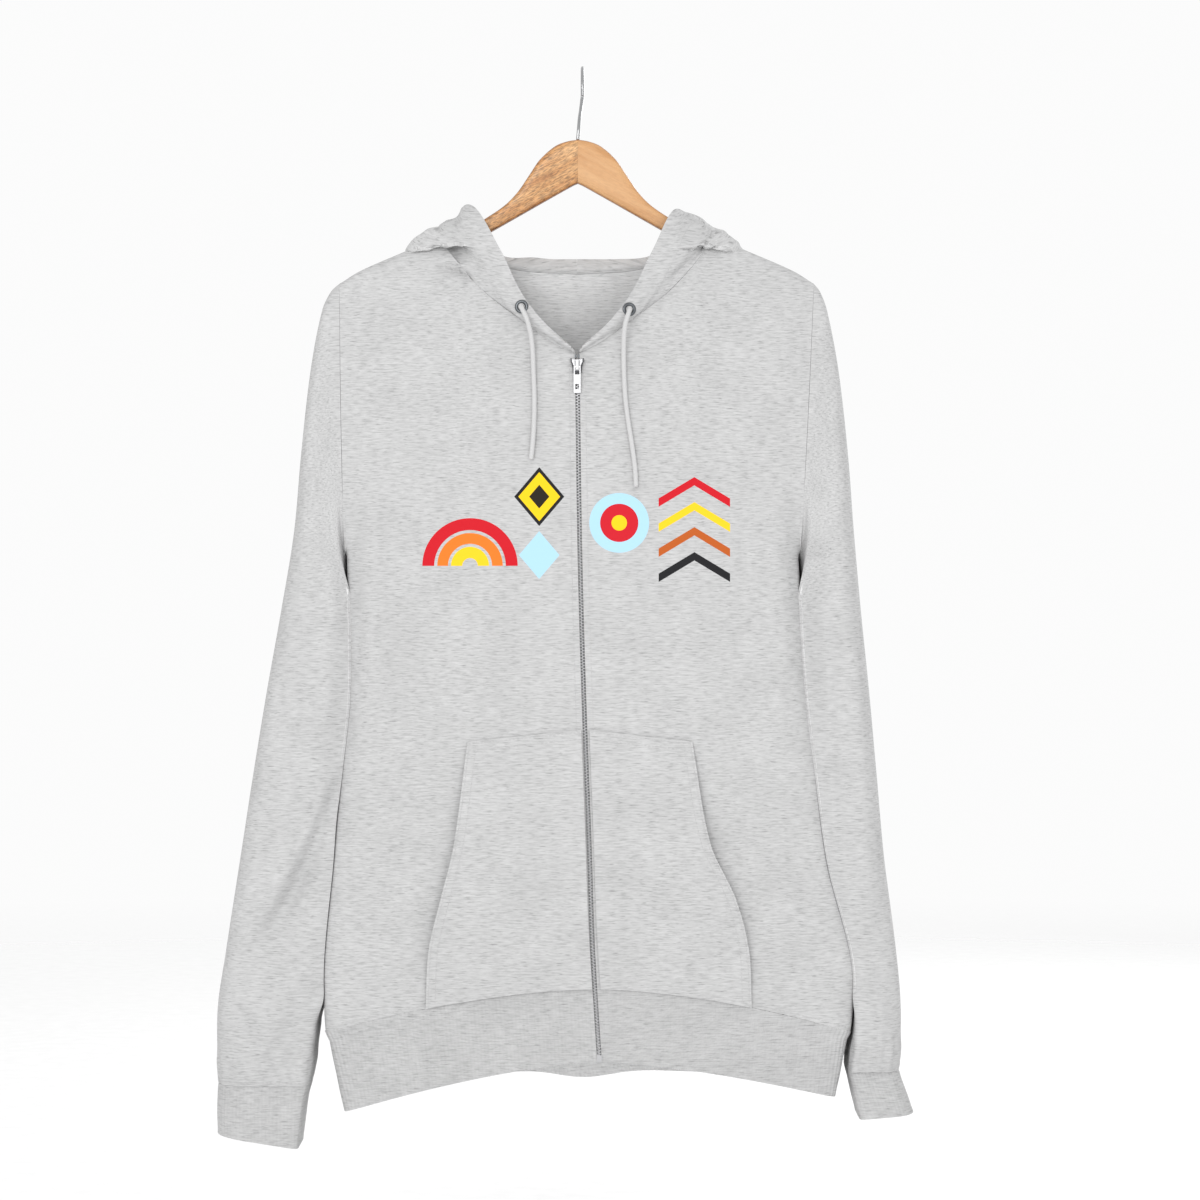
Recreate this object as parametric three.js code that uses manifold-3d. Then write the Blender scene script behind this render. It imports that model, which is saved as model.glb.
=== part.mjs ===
import * as THREE from 'three';
import { mergeVertices } from 'three/addons/utils/BufferGeometryUtils.js';
import Module from 'manifold-3d';

const wasm = await Module();
wasm.setup();

function mix(a, b, t) {
  return a + (b - a) * t;
}

// Zip up hoodie hanging on a wooden hanger. Millimetres, +Z up, the front faces -Y.
// The origin is where a rod carries the hook. Half widths are given from x = 0, left is -X.
const clothThickness = 1.8;
const seamGap = 0.3;
const middleX = -5;
const shoulderTipZ = -182;
const underarmZ = -415;
const neckDepthZ = -246;

const sides = {
  left: { sign: -1, tipX: 207, underarmX: 199.5, wristZ: -862, wristInnerX: 231, hemX: 203.5, hemZ: -883.5 },
  right: { sign: 1, tipX: 197, underarmX: 183, wristZ: -850, wristInnerX: 224, hemX: 216, hemZ: -871 },
};

// Top edge of both shoulders, by distance from the middle of the neck.
const shoulderLine = [
  { from: 0, z: -95 },
  { from: 110, z: -139.5 },
  { from: 146, z: -154.5 },
  { from: 185, z: -171.5 },
  { from: 202, z: -182 },
];

// Seam between the fronts and the hood.
const frontNeckLine = [
  { from: 0, z: neckDepthZ },
  { from: 20, z: -236 },
  { from: 42, z: -220 },
  { from: 61, z: -206 },
  { from: 79, z: -191 },
  { from: 98, z: -170 },
  { from: 112, z: -152 },
  { from: 122, z: -144.5 },
];

const backNeckLine = [
  { from: 0, z: -172 },
  { from: 50, z: -169 },
  { from: 90, z: -158 },
  { from: 122, z: -144.5 },
];

// Half width of the body below the arms.
const bodyEdge = [
  { z: underarmZ, left: 199.5, right: 183 },
  { z: -530, left: 198, right: 190.5 },
  { z: -600, left: 204.5, right: 198.5 },
  { z: -675, left: 211, right: 208.5 },
  { z: -760, left: 219, right: 229.5 },
  { z: -820, left: 220.5, right: 227 },
];

// How far the front and the back stand from the middle plane.
const bodyDepth = [
  { z: -182, front: 47, back: 38 },
  { z: -300, front: 54, back: 46 },
  { z: -415, front: 60, back: 53 },
  { z: -560, front: 64, back: 59 },
  { z: -700, front: 66, back: 62 },
  { z: -820, front: 62, back: 60 },
];

const sleeveOuter = [
  { z: shoulderTipZ, left: 207, right: 197 },
  { z: -189, left: 214.5, right: 202.5 },
  { z: -205, left: 222, right: 208.5 },
  { z: -256, left: 231.5, right: 218 },
  { z: -325, left: 239, right: 225.5 },
  { z: -393, left: 245, right: 230.6 },
  { z: -461, left: 256, right: 236.6 },
  { z: -529, left: 268, right: 243.4 },
  { z: -597, left: 279, right: 249.4 },
  { z: -666, left: 289.5, right: 255.5 },
  { z: -751, left: 302.5, right: 266 },
  { z: -800, left: 309.5, right: 270 },
  { z: -862, left: 309.4, right: 268.5 },
];

const sleeveDepth = [
  { z: underarmZ, half: 54, forward: 0 },
  { z: -530, half: 53, forward: 2 },
  { z: -666, half: 46, forward: 6 },
  { z: -800, half: 40, forward: 8 },
  { z: -862, half: 37, forward: 8 },
];

// Cuffs, from the wrist seam (down = 0) to the open end (down = 1).
const cuffShape = {
  left: [
    { down: 0, inner: 231, outer: 309.4, innerZ: -862, outerZ: -862, half: 36 },
    { down: 0.3, inner: 236, outer: 309.3, innerZ: -878.5, outerZ: -875.5, half: 34 },
    { down: 1, inner: 240, outer: 309.8, innerZ: -915.5, outerZ: -904.5, half: 34 },
  ],
  right: [
    { down: 0, inner: 224, outer: 268.5, innerZ: -850, outerZ: -850, half: 36 },
    { down: 0.3, inner: 228, outer: 271, innerZ: -862, outerZ: -861, half: 34 },
    { down: 1, inner: 234, outer: 281, innerZ: -890.5, outerZ: -886.5, half: 35 },
  ],
};

// The zip's course down the front.
const zipLine = [
  { z: -246, x: -4.3 },
  { z: -419, x: -1.8 },
  { z: -536, x: 1.5 },
  { z: -661, x: 6 },
  { z: -745, x: 8.8 },
  { z: -840, x: 14.5 },
];

// Rows down a body panel: the armhole takes the first ones, the side seam the rest.
const armholeRows = [0, 0.008, 0.03, 0.11, 0.24, 0.4, 0.57, 0.73, 0.86, 0.95, 1];
const sideRows = 6;
const bodyEndZ = -816;
const sideRowZ = Array.from(
  { length: sideRows },
  (unused, i) => mix(underarmZ, bodyEndZ, (i + 1) / sideRows),
);
const fanZ = sideRowZ[0];
// Columns from the middle to the side, with two close together at the neck's corner.
const columnShares = [0, 0.171, 0.328, 0.47, 0.583, 0.597, 0.709, 0.804, 0.883, 0.943, 0.983, 1];
const panelColumns = columnShares.length - 1;
const neckColumn = 5;
const zipSlotHalf = 2.3;
const ridgeRadius = 10;
const flareDrop = 190;
const flarePower = 1.8;
const sideRoundness = 6;
const crown = 0.1;

// Troughs of the longest folds on the body: from a top point to a low point, width and depth.
const bodyFolds = [
  { face: 'front', topX: -168, topZ: -300, lowX: -140, lowZ: -640, width: 17, depth: 6 },
  { face: 'front', topX: -95, topZ: -330, lowX: -165, lowZ: -790, width: 20, depth: 4 },
  { face: 'front', topX: 150, topZ: -300, lowX: 128, lowZ: -560, width: 16, depth: 5 },
  { face: 'front', topX: 120, topZ: -560, lowX: 205, lowZ: -810, width: 18, depth: 5 },
  { face: 'back', topX: -150, topZ: -260, lowX: -90, lowZ: -700, width: 19, depth: 6 },
  { face: 'back', topX: 140, topZ: -280, lowX: 95, lowZ: -740, width: 17, depth: 5 },
  { face: 'back', topX: 20, topZ: -420, lowX: -25, lowZ: -800, width: 22, depth: 5 },
  { face: 'back', topX: -185, topZ: -520, lowX: -160, lowZ: -812, width: 15, depth: 4 },
];

// Folds on the sleeves: how far across (0 outer edge, 1 inner edge) at the top and the low end.
const sleeveFolds = [
  { side: 'left', face: 'front', topZ: -600, lowZ: -840, topShare: 1, lowShare: 0.1, width: 0.16, depth: 6 },
  { side: 'left', face: 'front', topZ: -380, lowZ: -600, topShare: 0.75, lowShare: 0.35, width: 0.2, depth: 4 },
  { side: 'right', face: 'front', topZ: -430, lowZ: -690, topShare: 0.2, lowShare: 0.7, width: 0.2, depth: 5 },
  { side: 'left', face: 'back', topZ: -480, lowZ: -760, topShare: 0.3, lowShare: 0.75, width: 0.2, depth: 5 },
  { side: 'right', face: 'back', topZ: -560, lowZ: -820, topShare: 0.8, lowShare: 0.25, width: 0.18, depth: 5 },
];

// Smooth curve through a table's rows, read at a value of its key column.
function readTable(table, key, name, at) {
  const rising = table[1][key] > table[0][key];
  const order = rising ? table : [...table].reverse();
  const last = order.length - 1;
  if (at <= order[0][key]) return order[0][name];
  if (at >= order[last][key]) return order[last][name];
  const i = order.findIndex((row, n) => n < last && at < order[n + 1][key]);
  const slope = (n) => {
    const a = order[Math.max(n - 1, 0)];
    const b = order[Math.min(n + 1, last)];
    return (b[name] - a[name]) / (b[key] - a[key]);
  };
  const width = order[i + 1][key] - order[i][key];
  const t = (at - order[i][key]) / width;
  const rise = t * t * (3 - 2 * t);
  return mix(order[i][name], order[i + 1][name], rise)
    + width * (slope(i) * t * (1 - t) * (1 - t) - slope(i + 1) * t * t * (1 - t));
}

// A closed cloth wall. The grid's points are its outer face, and the inner face lies one thickness
// behind along the normals. hold(row, column, normal) turns normals at a seam into its plane.
function clothWall(grid, { closed = false, facing = 1, hold = null, thickness = clothThickness } = {}) {
  const rows = grid.length;
  const columns = grid[0].length;
  const at = (r, c) => grid[r][closed ? (c + columns) % columns : Math.min(Math.max(c, 0), columns - 1)];
  const inner = grid.map((line, r) => line.map((point, c) => {
    const along = at(r, c + 1).clone().sub(at(r, c - 1));
    const down = grid[Math.min(r + 1, rows - 1)][c].clone().sub(grid[Math.max(r - 1, 0)][c]);
    const normal = along.cross(down).normalize().multiplyScalar(facing);
    if (hold) hold(r, c, normal);
    return point.clone().addScaledVector(normal.normalize(), -thickness);
  }));
  const positions = [];
  for (const line of [...grid, ...inner]) {
    for (const point of line) positions.push(point.x, point.y, point.z);
  }
  const index = [];
  const outerId = (r, c) => r * columns + (c % columns);
  const innerId = (r, c) => rows * columns + outerId(r, c);
  const quad = (a, b, c, d) => index.push(a, b, c, a, c, d);
  const spans = closed ? columns : columns - 1;
  for (let r = 0; r < rows - 1; r += 1) {
    for (let c = 0; c < spans; c += 1) {
      quad(outerId(r, c), outerId(r + 1, c), outerId(r + 1, c + 1), outerId(r, c + 1));
      quad(innerId(r, c), innerId(r, c + 1), innerId(r + 1, c + 1), innerId(r + 1, c));
    }
    if (!closed) {
      quad(outerId(r, 0), innerId(r, 0), innerId(r + 1, 0), outerId(r + 1, 0));
      quad(outerId(r, spans), outerId(r + 1, spans), innerId(r + 1, spans), innerId(r, spans));
    }
  }
  for (let c = 0; c < spans; c += 1) {
    quad(outerId(0, c), outerId(0, c + 1), innerId(0, c + 1), innerId(0, c));
    quad(outerId(rows - 1, c), innerId(rows - 1, c), innerId(rows - 1, c + 1), outerId(rows - 1, c + 1));
  }
  const geometry = new THREE.BufferGeometry();
  geometry.setAttribute('position', new THREE.Float32BufferAttribute(positions, 3));
  geometry.setIndex(facing > 0 ? index.reverse() : index);
  return { geometry, inner };
}

// Front and back panels.
function zipEdgeX(sign, z) {
  return readTable(zipLine, 'z', 'x', z) + sign * zipSlotHalf;
}

function shoulderZ(x) {
  return readTable(shoulderLine, 'from', 'z', Math.abs(x - middleX));
}

function bodyEdgeX(name, z) {
  const side = sides[name];
  if (z < underarmZ) return readTable(bodyEdge, 'z', name, z);
  return mix(side.tipX, side.underarmX, Math.min((shoulderTipZ - z) / (shoulderTipZ - underarmZ), 1));
}

// Cloth leaves the shoulder over a narrow round ridge and then flares out to its full depth.
function hangDepth(drop, full) {
  const ridge = ridgeRadius * Math.sqrt(1 - (1 - Math.min(Math.max(drop, 0) / ridgeRadius, 1)) ** 2);
  const flare = 1 - (1 - Math.min(Math.max(drop, 0) / flareDrop, 1)) ** flarePower;
  return ridge + (full - ridgeRadius) * flare;
}

// The body closes towards its sides below the arms and stays open at the armholes.
function sideClosing(name, x, z) {
  const t = Math.min(Math.max(x * sides[name].sign / bodyEdgeX(name, z), 0), 1);
  const height = Math.min((shoulderTipZ - z) / (shoulderTipZ - underarmZ), 1);
  const closing = Math.max(height, 0) ** 5 * t ** sideRoundness;
  return Math.max(1 - closing, 0) ** (1 / sideRoundness) * (1 - crown * t * t);
}

// Long soft folds, as troughs along a line down the cloth.
function foldDepth(face, x, z) {
  return bodyFolds.filter((fold) => fold.face === face).reduce((sum, fold) => {
    const t = (z - fold.topZ) / (fold.lowZ - fold.topZ);
    if (t <= 0 || t >= 1) return sum;
    const across = (x - mix(fold.topX, fold.lowX, t)) / fold.width;
    return sum + fold.depth * Math.exp(-across * across) * Math.sin(Math.PI * t);
  }, 0);
}

function bodyY(name, face, x, z) {
  const full = readTable(bodyDepth, 'z', face, z);
  const y = hangDepth(shoulderZ(x) - z, full) * sideClosing(name, x, z);
  const eased = y - Math.min(foldDepth(face, x, z), y * 0.5);
  return face === 'front' ? -Math.max(eased, seamGap / 2) : Math.max(eased, seamGap / 2);
}

function hemSeamZ(face, t) {
  return face === 'front' ? mix(-778, -816, t ** 1.7) : mix(-808, -816, t * t);
}

function rowHeights() {
  const armhole = armholeRows.map((h) => mix(shoulderTipZ, underarmZ, h));
  return [...armhole, ...sideRowZ].map((z) => (z - shoulderTipZ) / (bodyEndZ - shoulderTipZ));
}

function bodyPoint(name, face, c, down) {
  const side = sides[name];
  const t = columnShares[c];
  const edgeOf = (z) => (face === 'front' ? zipEdgeX(side.sign, z) : middleX * (1 - down));
  const neck = face === 'front' ? frontNeckLine : backNeckLine;
  const topX = mix(edgeOf(neckDepthZ), side.sign * side.tipX, t);
  const reach = Math.abs(topX - middleX);
  const topZ = c < neckColumn ? readTable(neck, 'from', 'z', reach) : shoulderZ(topX);
  const z = mix(topZ, hemSeamZ(face, t), down);
  const x = mix(edgeOf(z), side.sign * bodyEdgeX(name, z), t);
  return new THREE.Vector3(x, bodyY(name, face, x, z), z);
}

function panelHold(sign, columnsToSide) {
  return (r, c, normal) => {
    const toSide = columnsToSide(c);
    if (r === 0 && toSide >= neckColumn) normal.y = 0;
    if (toSide === 0 && sign !== 0) normal.x = 0;
    if (toSide === panelColumns) {
      const outward = sign === 0 ? Math.sign(c - panelColumns) : sign;
      if (r >= armholeRows.length - 1) normal.y = 0;
      normal.x = outward * Math.max(normal.x * outward, 0);
    }
    if (r === armholeRows.length + sideRows - 1) normal.z = 0;
  };
}

function frontGrid(name) {
  return rowHeights().map((down) => (
    Array.from({ length: panelColumns + 1 }, (unused, c) => bodyPoint(name, 'front', c, down))
  ));
}

function backGrid() {
  return rowHeights().map((down) => (
    Array.from({ length: 2 * panelColumns + 1 }, (unused, i) => {
      const c = i - panelColumns;
      return bodyPoint(c > 0 ? 'right' : 'left', 'back', Math.abs(c), down);
    })
  ));
}

// Sleeves: the first rows fan out round the underarm, the others lie level down to the wrist.
const fanShares = [0, 0.025, 0.09, 0.2, 0.34, 0.5, 0.66, 0.83, 1];
const sleeveClear = 1;
const sleeveRoundness = 2.8;
const innerRoundness = 5;

function power(value, roundness) {
  return Math.sign(value) * Math.abs(value) ** (2 / roundness);
}

// Section of a sleeve or cuff at an angle from its outer edge. It is squarer where it meets the body.
function sleeveSection(angle) {
  const roundness = angle > Math.PI / 2 ? innerRoundness : sleeveRoundness;
  return { share: (1 - power(Math.cos(angle), roundness)) / 2, bow: power(Math.sin(angle), roundness) };
}

function sleeveInnerX(name, z) {
  const { underarmX, wristInnerX, wristZ } = sides[name];
  const fanX = bodyEdgeX(name, fanZ) + sleeveClear;
  if (z > fanZ) return mix(underarmX + sleeveClear, fanX, (z - underarmZ) / (fanZ - underarmZ));
  if (z > bodyEndZ) return bodyEdgeX(name, z) + sleeveClear;
  return mix(bodyEdgeX(name, bodyEndZ) + sleeveClear, wristInnerX, (z - bodyEndZ) / (wristZ - bodyEndZ));
}

function sleeveLines(name) {
  const { wristZ } = sides[name];
  const fan = fanShares.map((share) => ({
    outerZ: mix(shoulderTipZ, fanZ, share ** 1.25),
    innerZ: mix(underarmZ, fanZ, share ** 1.5),
    blend: Math.min(share * 1.6, 1),
  }));
  const level = [...sideRowZ.slice(1), mix(bodyEndZ, wristZ, 0.5), wristZ].map((z) => (
    { outerZ: z, innerZ: z, blend: 1 }
  ));
  return [...fan, ...level];
}

function sleeveGrid(name) {
  const { sign, tipX, underarmX, wristZ } = sides[name];
  const steps = armholeRows.length - 1;
  const around = [...armholeRows.keys(), ...[...armholeRows.keys()].slice(1, -1).reverse()];
  return sleeveLines(name).map((line, r) => around.map((j, i) => {
    const face = i <= steps ? 'front' : 'back';
    const toward = i === 0 || i === steps ? 0 : (face === 'front' ? -1 : 1);
    const outerX = r === 0 ? tipX : readTable(sleeveOuter, 'z', name, line.outerZ);
    const innerX = r === 0 ? underarmX : sleeveInnerX(name, line.innerZ);
    const angle = Math.PI * j / steps;
    const section = sleeveSection(angle);
    const share = mix(armholeRows[j], section.share, line.blend);
    const armholeZ = mix(shoulderTipZ, underarmZ, armholeRows[j]);
    const armholeX = sign * bodyEdgeX(name, armholeZ);
    const armholeY = Math.abs(bodyY(name, face, armholeX, armholeZ));
    const z = mix(line.outerZ, line.innerZ, share);
    const half = readTable(sleeveDepth, 'z', 'half', line.innerZ);
    const forward = readTable(sleeveDepth, 'z', 'forward', line.innerZ);
    const roundY = half * section.bow;
    const fold = sleeveFold(name, face, share, z) * Math.min(roundY / half, 1);
    const y = toward * mix(armholeY, Math.max(roundY - fold, 0), line.blend) - forward * line.blend;
    const x = sign * (mix(outerX, innerX, share) + (r === 0 ? seamGap : 0));
    return new THREE.Vector3(x, y, r === sleeveLines(name).length - 1 ? wristZ : z);
  }));
}

function sleeveFold(name, face, across, z) {
  return sleeveFolds.filter((fold) => fold.side === name && fold.face === face).reduce((sum, fold) => {
    const t = (z - fold.topZ) / (fold.lowZ - fold.topZ);
    if (t <= 0 || t >= 1) return sum;
    const off = (across - mix(fold.topShare, fold.lowShare, t)) / fold.width;
    return sum + fold.depth * Math.exp(-off * off) * Math.sin(Math.PI * t);
  }, 0);
}

function sleeveHold(name) {
  const { sign } = sides[name];
  return (r, c, normal) => {
    if (r === 0) {
      normal.x = sign * Math.min(normal.x * sign, 0);
      if (c === 0) normal.set(0, 0, 1);
    }
    if (r === sleeveLines(name).length - 1) normal.z = 0;
  };
}

function cuffGrid(name) {
  const { sign } = sides[name];
  const steps = armholeRows.length - 1;
  return [0, 0.15, 0.3, 0.6, 1].map((down) => (
    Array.from({ length: 2 * steps }, (unused, i) => {
      const read = (column) => readTable(cuffShape[name], 'down', column, down);
      const toward = i <= steps ? 1 : -1;
      const { share, bow } = sleeveSection(Math.PI * Math.min(i, 2 * steps - i) / steps);
      const forward = readTable(sleeveDepth, 'z', 'forward', -862);
      return new THREE.Vector3(
        sign * mix(read('outer'), read('inner'), share),
        -toward * read('half') * bow - forward,
        mix(read('outerZ'), read('innerZ'), share) - seamGap,
      );
    })
  ));
}

// Rib band round the hem, from one side of the zip round the back to the other.
const bandRows = [0, 0.12, 0.5, 1];
const bandTuck = 2.5;
const backDip = { depth: 7, width: 0.16 };

function bandPoint(name, face, c, down) {
  const side = sides[name];
  const t = columnShares[c];
  const hemCentre = face === 'front' ? -840 : -860 - backDip.depth * Math.exp(-((t / backDip.width) ** 2));
  const hemPower = face === 'front' ? 1.5 : 2;
  const topZ = hemSeamZ(face, t) - seamGap;
  const z = mix(topZ, mix(hemCentre, side.hemZ, t ** hemPower), down);
  const edge = mix(bodyEdgeX(name, bodyEndZ), side.hemX, down);
  const tuck = bandTuck * Math.min(down / bandRows[1], 1);
  const x = mix(face === 'front' ? zipEdgeX(side.sign, z) : 0, side.sign * (edge - tuck * t), t);
  const top = bodyPoint(name, face, c, 1);
  const y = c === panelColumns ? 0 : (Math.abs(top.y) - tuck * (1 - t)) * mix(1, 0.93, down);
  return new THREE.Vector3(x, face === 'front' ? -Math.max(y, 0) : Math.max(y, 0), z);
}

function bandGrid() {
  const out = Array.from({ length: panelColumns + 1 }, (unused, c) => c);
  const course = [
    ...out.map((c) => ['left', 'front', c]),
    ...out.slice(0, -1).reverse().map((c) => ['left', 'back', c]),
    ...out.slice(1).map((c) => ['right', 'back', c]),
    ...out.slice(0, -1).reverse().map((c) => ['right', 'front', c]),
  ];
  return bandRows.map((down) => course.map(([name, face, c]) => bandPoint(name, face, c, down)));
}

function bandHold(r, c, normal) {
  if (c === 0 || c === 4 * panelColumns) normal.x = 0;
  if (r === 0) normal.z = 0;
}

// Hood: each half runs from the zip over the shoulder to the middle of the back. Its cloth leaves
// the neck seam, rolls over at the fold, hangs as a bag behind and comes up again to its open edge.
// Points are [distance from the middle, y, z] by place round the neck, from the zip (0) to the nape (8).
const hoodEdge = [
  { at: 0, edge: [7, -49, -237] },
  { at: 1, edge: [27, -48, -219] },
  { at: 2, edge: [46, -41, -194] },
  { at: 3, edge: [65, -28, -155] },
  { at: 4, edge: [89, -5, -116.5], right: [84, -5, -119.5] },
  { at: 5, edge: [110, 44, -133] },
  { at: 6, edge: [103, 77, -176] },
  { at: 7, edge: [62, 90, -216] },
  { at: 8, edge: [0, 94, -230] },
];

const hoodFolds = [
  { at: 4, fold: [108, 4, -131], innerBase: [136, 5, -143.5], outerBase: [139, -5, -136], rightIn: 5.5 },
  { at: 5, fold: [86, 23, -131], innerBase: [135, 38, -170], outerBase: [141, 50, -160] },
  { at: 6, fold: [67, 33, -157], innerBase: [116, 60, -262], outerBase: [121, 80, -260] },
  { at: 7, fold: [36, 37, -160], innerBase: [68, 65, -348], outerBase: [71, 89, -346] },
  { at: 8, fold: [0, 38, -160], innerBase: [0, 67, -388], outerBase: [0, 92, -386] },
];
const hoodProfile = [0, 0.5, 0.8, 1, 1.2, 1.5, 1.8, 2, 2.3, 2.7, 3, 3.3, 3.65, 4];
const hoodPlaces = [0, 0.5, 1, 1.5, 2, 2.5, 3, 3.45, 3.85, 4, 4.15, 4.55, 5, 5.5, 6, 6.5, 7, 7.5, 8];
const seamPlaces = [0, 1, 2, 3, 3.85, 4, 4.15, 5, 6, 7, 8];
const hoodBulge = 3;
const cornerLift = 1.4;

function seamPoint(name, at) {
  const pick = (n) => (n <= neckColumn
    ? bodyPoint(name, 'front', n, 0)
    : bodyPoint(name, 'back', 2 * neckColumn - n, 0));
  const n = Math.max(seamPlaces.findIndex((place, i) => i > 0 && place >= at), 1);
  const share = (at - seamPlaces[n - 1]) / (seamPlaces[n] - seamPlaces[n - 1]);
  const corner = cornerLift * Math.exp(-(((at - 4.1) / 0.4) ** 2));
  return pick(n - 1).lerp(pick(n), share).add(new THREE.Vector3(0, 0, seamGap + corner));
}

// The hood's points at one place round the neck, from seam to open edge.
function hoodControl(name, at) {
  const { sign } = sides[name];
  const place = ([from, y, z]) => new THREE.Vector3(middleX + sign * from, y, z);
  const seam = seamPoint(name, at);
  const controlsAt = (k) => {
    const edge = place(hoodEdge[k][name] ?? hoodEdge[k].edge);
    const folded = hoodFolds.find((row) => row.at === k);
    if (folded) {
      const inward = new THREE.Vector3(name === 'right' ? -(folded.rightIn ?? 0) : 0, 0, 0);
      return [
        place(folded.fold), place(folded.innerBase).add(inward), place(folded.outerBase).add(inward), edge,
      ];
    }
    const strip = (share) => seamPoint(name, k).lerp(edge, share)
      .add(new THREE.Vector3(0, -hoodBulge * Math.sin(Math.PI * share), 0));
    return [strip(0.25), strip(0.5), strip(0.75), edge];
  };
  const rows = hoodEdge.map((row) => controlsAt(row.at));
  const across = [0, 1, 2, 3].map((n) => (
    new THREE.CatmullRomCurve3(rows.map((row) => row[n]), false, 'centripetal').getPoint(at / 8)
  ));
  return new THREE.CatmullRomCurve3([seam, ...across], false, 'centripetal');
}

function hoodGrid(name) {
  const { sign } = sides[name];
  const curves = hoodPlaces.map((at) => hoodControl(name, at));
  return hoodProfile.map((along) => curves.map((curve, i) => {
    const point = curve.getPoint(along / 4);
    if (i === hoodPlaces.length - 1) point.x = middleX + sign * seamGap / 2;
    return point;
  }));
}

function hoodHold(r, c, normal) {
  if (r === 0) normal.z = 0;
  if (c === 0 || c === hoodPlaces.length - 1) normal.x = 0;
}

// Pouch pocket halves, on the fronts. The hand opening stands away from the front.
const pocketTopZ = { zip: -561, mouth: -571 };
const pocketMouth = [
  { z: -571, left: 96, right: 92 },
  { z: -661, left: 107, right: 107 },
  { z: -707, left: 118, right: 128 },
  { z: -749, left: 128, right: 139 },
  { z: -800, left: 131, right: 142 },
];
const pocketLift = 13;
const pocketSeat = 0.5;

// A point of a panel's facets at a fractional row and column.
function gridPoint(grid, row, column) {
  const r = Math.min(Math.floor(row), grid.length - 2);
  const c = Math.min(Math.floor(column), grid[0].length - 2);
  const upper = grid[r][c].clone().lerp(grid[r][c + 1], column - c);
  const lower = grid[r + 1][c].clone().lerp(grid[r + 1][c + 1], column - c);
  return upper.lerp(lower, row - r);
}

function panelColumn(name, x, z) {
  const { sign } = sides[name];
  const t = (x - zipEdgeX(sign, z)) / (sign * bodyEdgeX(name, z) - zipEdgeX(sign, z));
  const c = Math.max(columnShares.findIndex((share) => share > t), 1);
  return c - 1 + (t - columnShares[c - 1]) / (columnShares[c] - columnShares[c - 1]);
}

function panelRow(grid, column, z) {
  const heights = grid.map((line, r) => gridPoint(grid, r, column).z);
  const r = Math.max(heights.findIndex((height, n) => n > 0 && height <= z), 1);
  return r - 1 + (z - heights[r - 1]) / (heights[r] - heights[r - 1]);
}

function pocketGrid(name, panel) {
  const { sign } = sides[name];
  const bottomRow = panel.length - 1;
  return [0, 0.1, 0.28, 0.46, 0.64, 0.82, 1].map((down) => (
    [0, 0.12, 0.35, 0.55, 0.72, 0.87, 1].map((across) => {
      const mouthZ = mix(pocketTopZ.mouth, -800, down);
      const mouthX = sign * readTable(pocketMouth, 'z', name, mouthZ);
      const x = mix(zipEdgeX(sign, mouthZ) + sign * 1.5, mouthX, across);
      const column = panelColumn(name, x, mouthZ);
      const topRow = panelRow(panel, column, mix(pocketTopZ.zip, pocketTopZ.mouth, across));
      const point = gridPoint(panel, mix(topRow, bottomRow, down), column);
      const lift = pocketLift * across ** 2 * Math.sin(Math.PI * down);
      return point.add(new THREE.Vector3(0, -(clothThickness + pocketSeat + lift), 0));
    })
  ));
}

// Zip: a tape inside each front, and the closed chain in the slot between the fronts.
const tape = { thickness: 0.8, width: 12, behind: 0.1, edge: 1 };
const chain = { width: 3.8, thickness: 2.2, topZ: -263 };
const bottomBox = { width: 4, thickness: 2.6, height: 6, clear: 0.1 };
const stop = { width: 1.3, thickness: 2, height: 2.6, aside: 1.3, forward: 1.6, above: 1.7 };

function zipRows(panelInner, bandInner, bandColumn) {
  const panelRows = panelInner.map((line) => ({ edge: line[0], next: line[1] }));
  const step = bandColumn === 0 ? 1 : -1;
  const bandRowsInner = bandInner.slice(1).map((line) => (
    { edge: line[bandColumn], next: line[bandColumn + step] }
  ));
  return [...panelRows, ...bandRowsInner];
}

function tapeGrid(name, rows) {
  const { sign } = sides[name];
  return rows.map(({ edge, next }, r) => {
    const zipX = zipEdgeX(sign, edge.z) - sign * zipSlotHalf;
    const out = edge.clone().lerp(next, tape.width / Math.abs(next.x - edge.x));
    const lift = new THREE.Vector3(0, seamGap + tape.behind, r === 0 ? -tape.edge : 0);
    const zipSide = new THREE.Vector3(zipX + sign * tape.edge, edge.y, edge.z);
    return [zipSide, edge.clone(), out].map((point) => point.add(lift));
  });
}

function chainGrid(rows) {
  const first = rows.findIndex(({ edge }) => edge.z < chain.topZ);
  const line = rows.slice(first).map(({ edge }) => edge);
  const above = rows[first - 1].edge;
  const top = line[0].clone().lerp(above, (chain.topZ - line[0].z) / (above.z - line[0].z));
  const [before, last] = line.slice(-2);
  const low = last.clone().lerp(before, (bottomBox.height + seamGap) / (before.z - last.z));
  return [top, ...line.slice(0, -1), low].map((edge) => {
    const zipX = zipEdgeX(0, edge.z);
    const y = edge.y + tape.behind - chain.thickness;
    return [-1, 1].map((side) => new THREE.Vector3(zipX + side * chain.width / 2, y, edge.z));
  });
}

// Bottom box, which holds both halves of the zip together.
function bottomBoxGeometry(rows) {
  const [before, last] = rows.slice(-2).map(({ edge }) => edge);
  const middle = last.clone().lerp(before, bottomBox.height / 2 / (before.z - last.z));
  const box = new THREE.BoxGeometry(bottomBox.width, bottomBox.thickness, bottomBox.height);
  return box.translate(zipEdgeX(0, middle.z), middle.y - bottomBox.clear - bottomBox.thickness / 2, middle.z);
}

function stopGeometry(sign, edge) {
  const block = new THREE.BoxGeometry(stop.width, stop.thickness, stop.height);
  return block.translate(sliderX + sign * stop.aside, edge.y - stop.forward, slider.topZ + stop.above);
}

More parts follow.
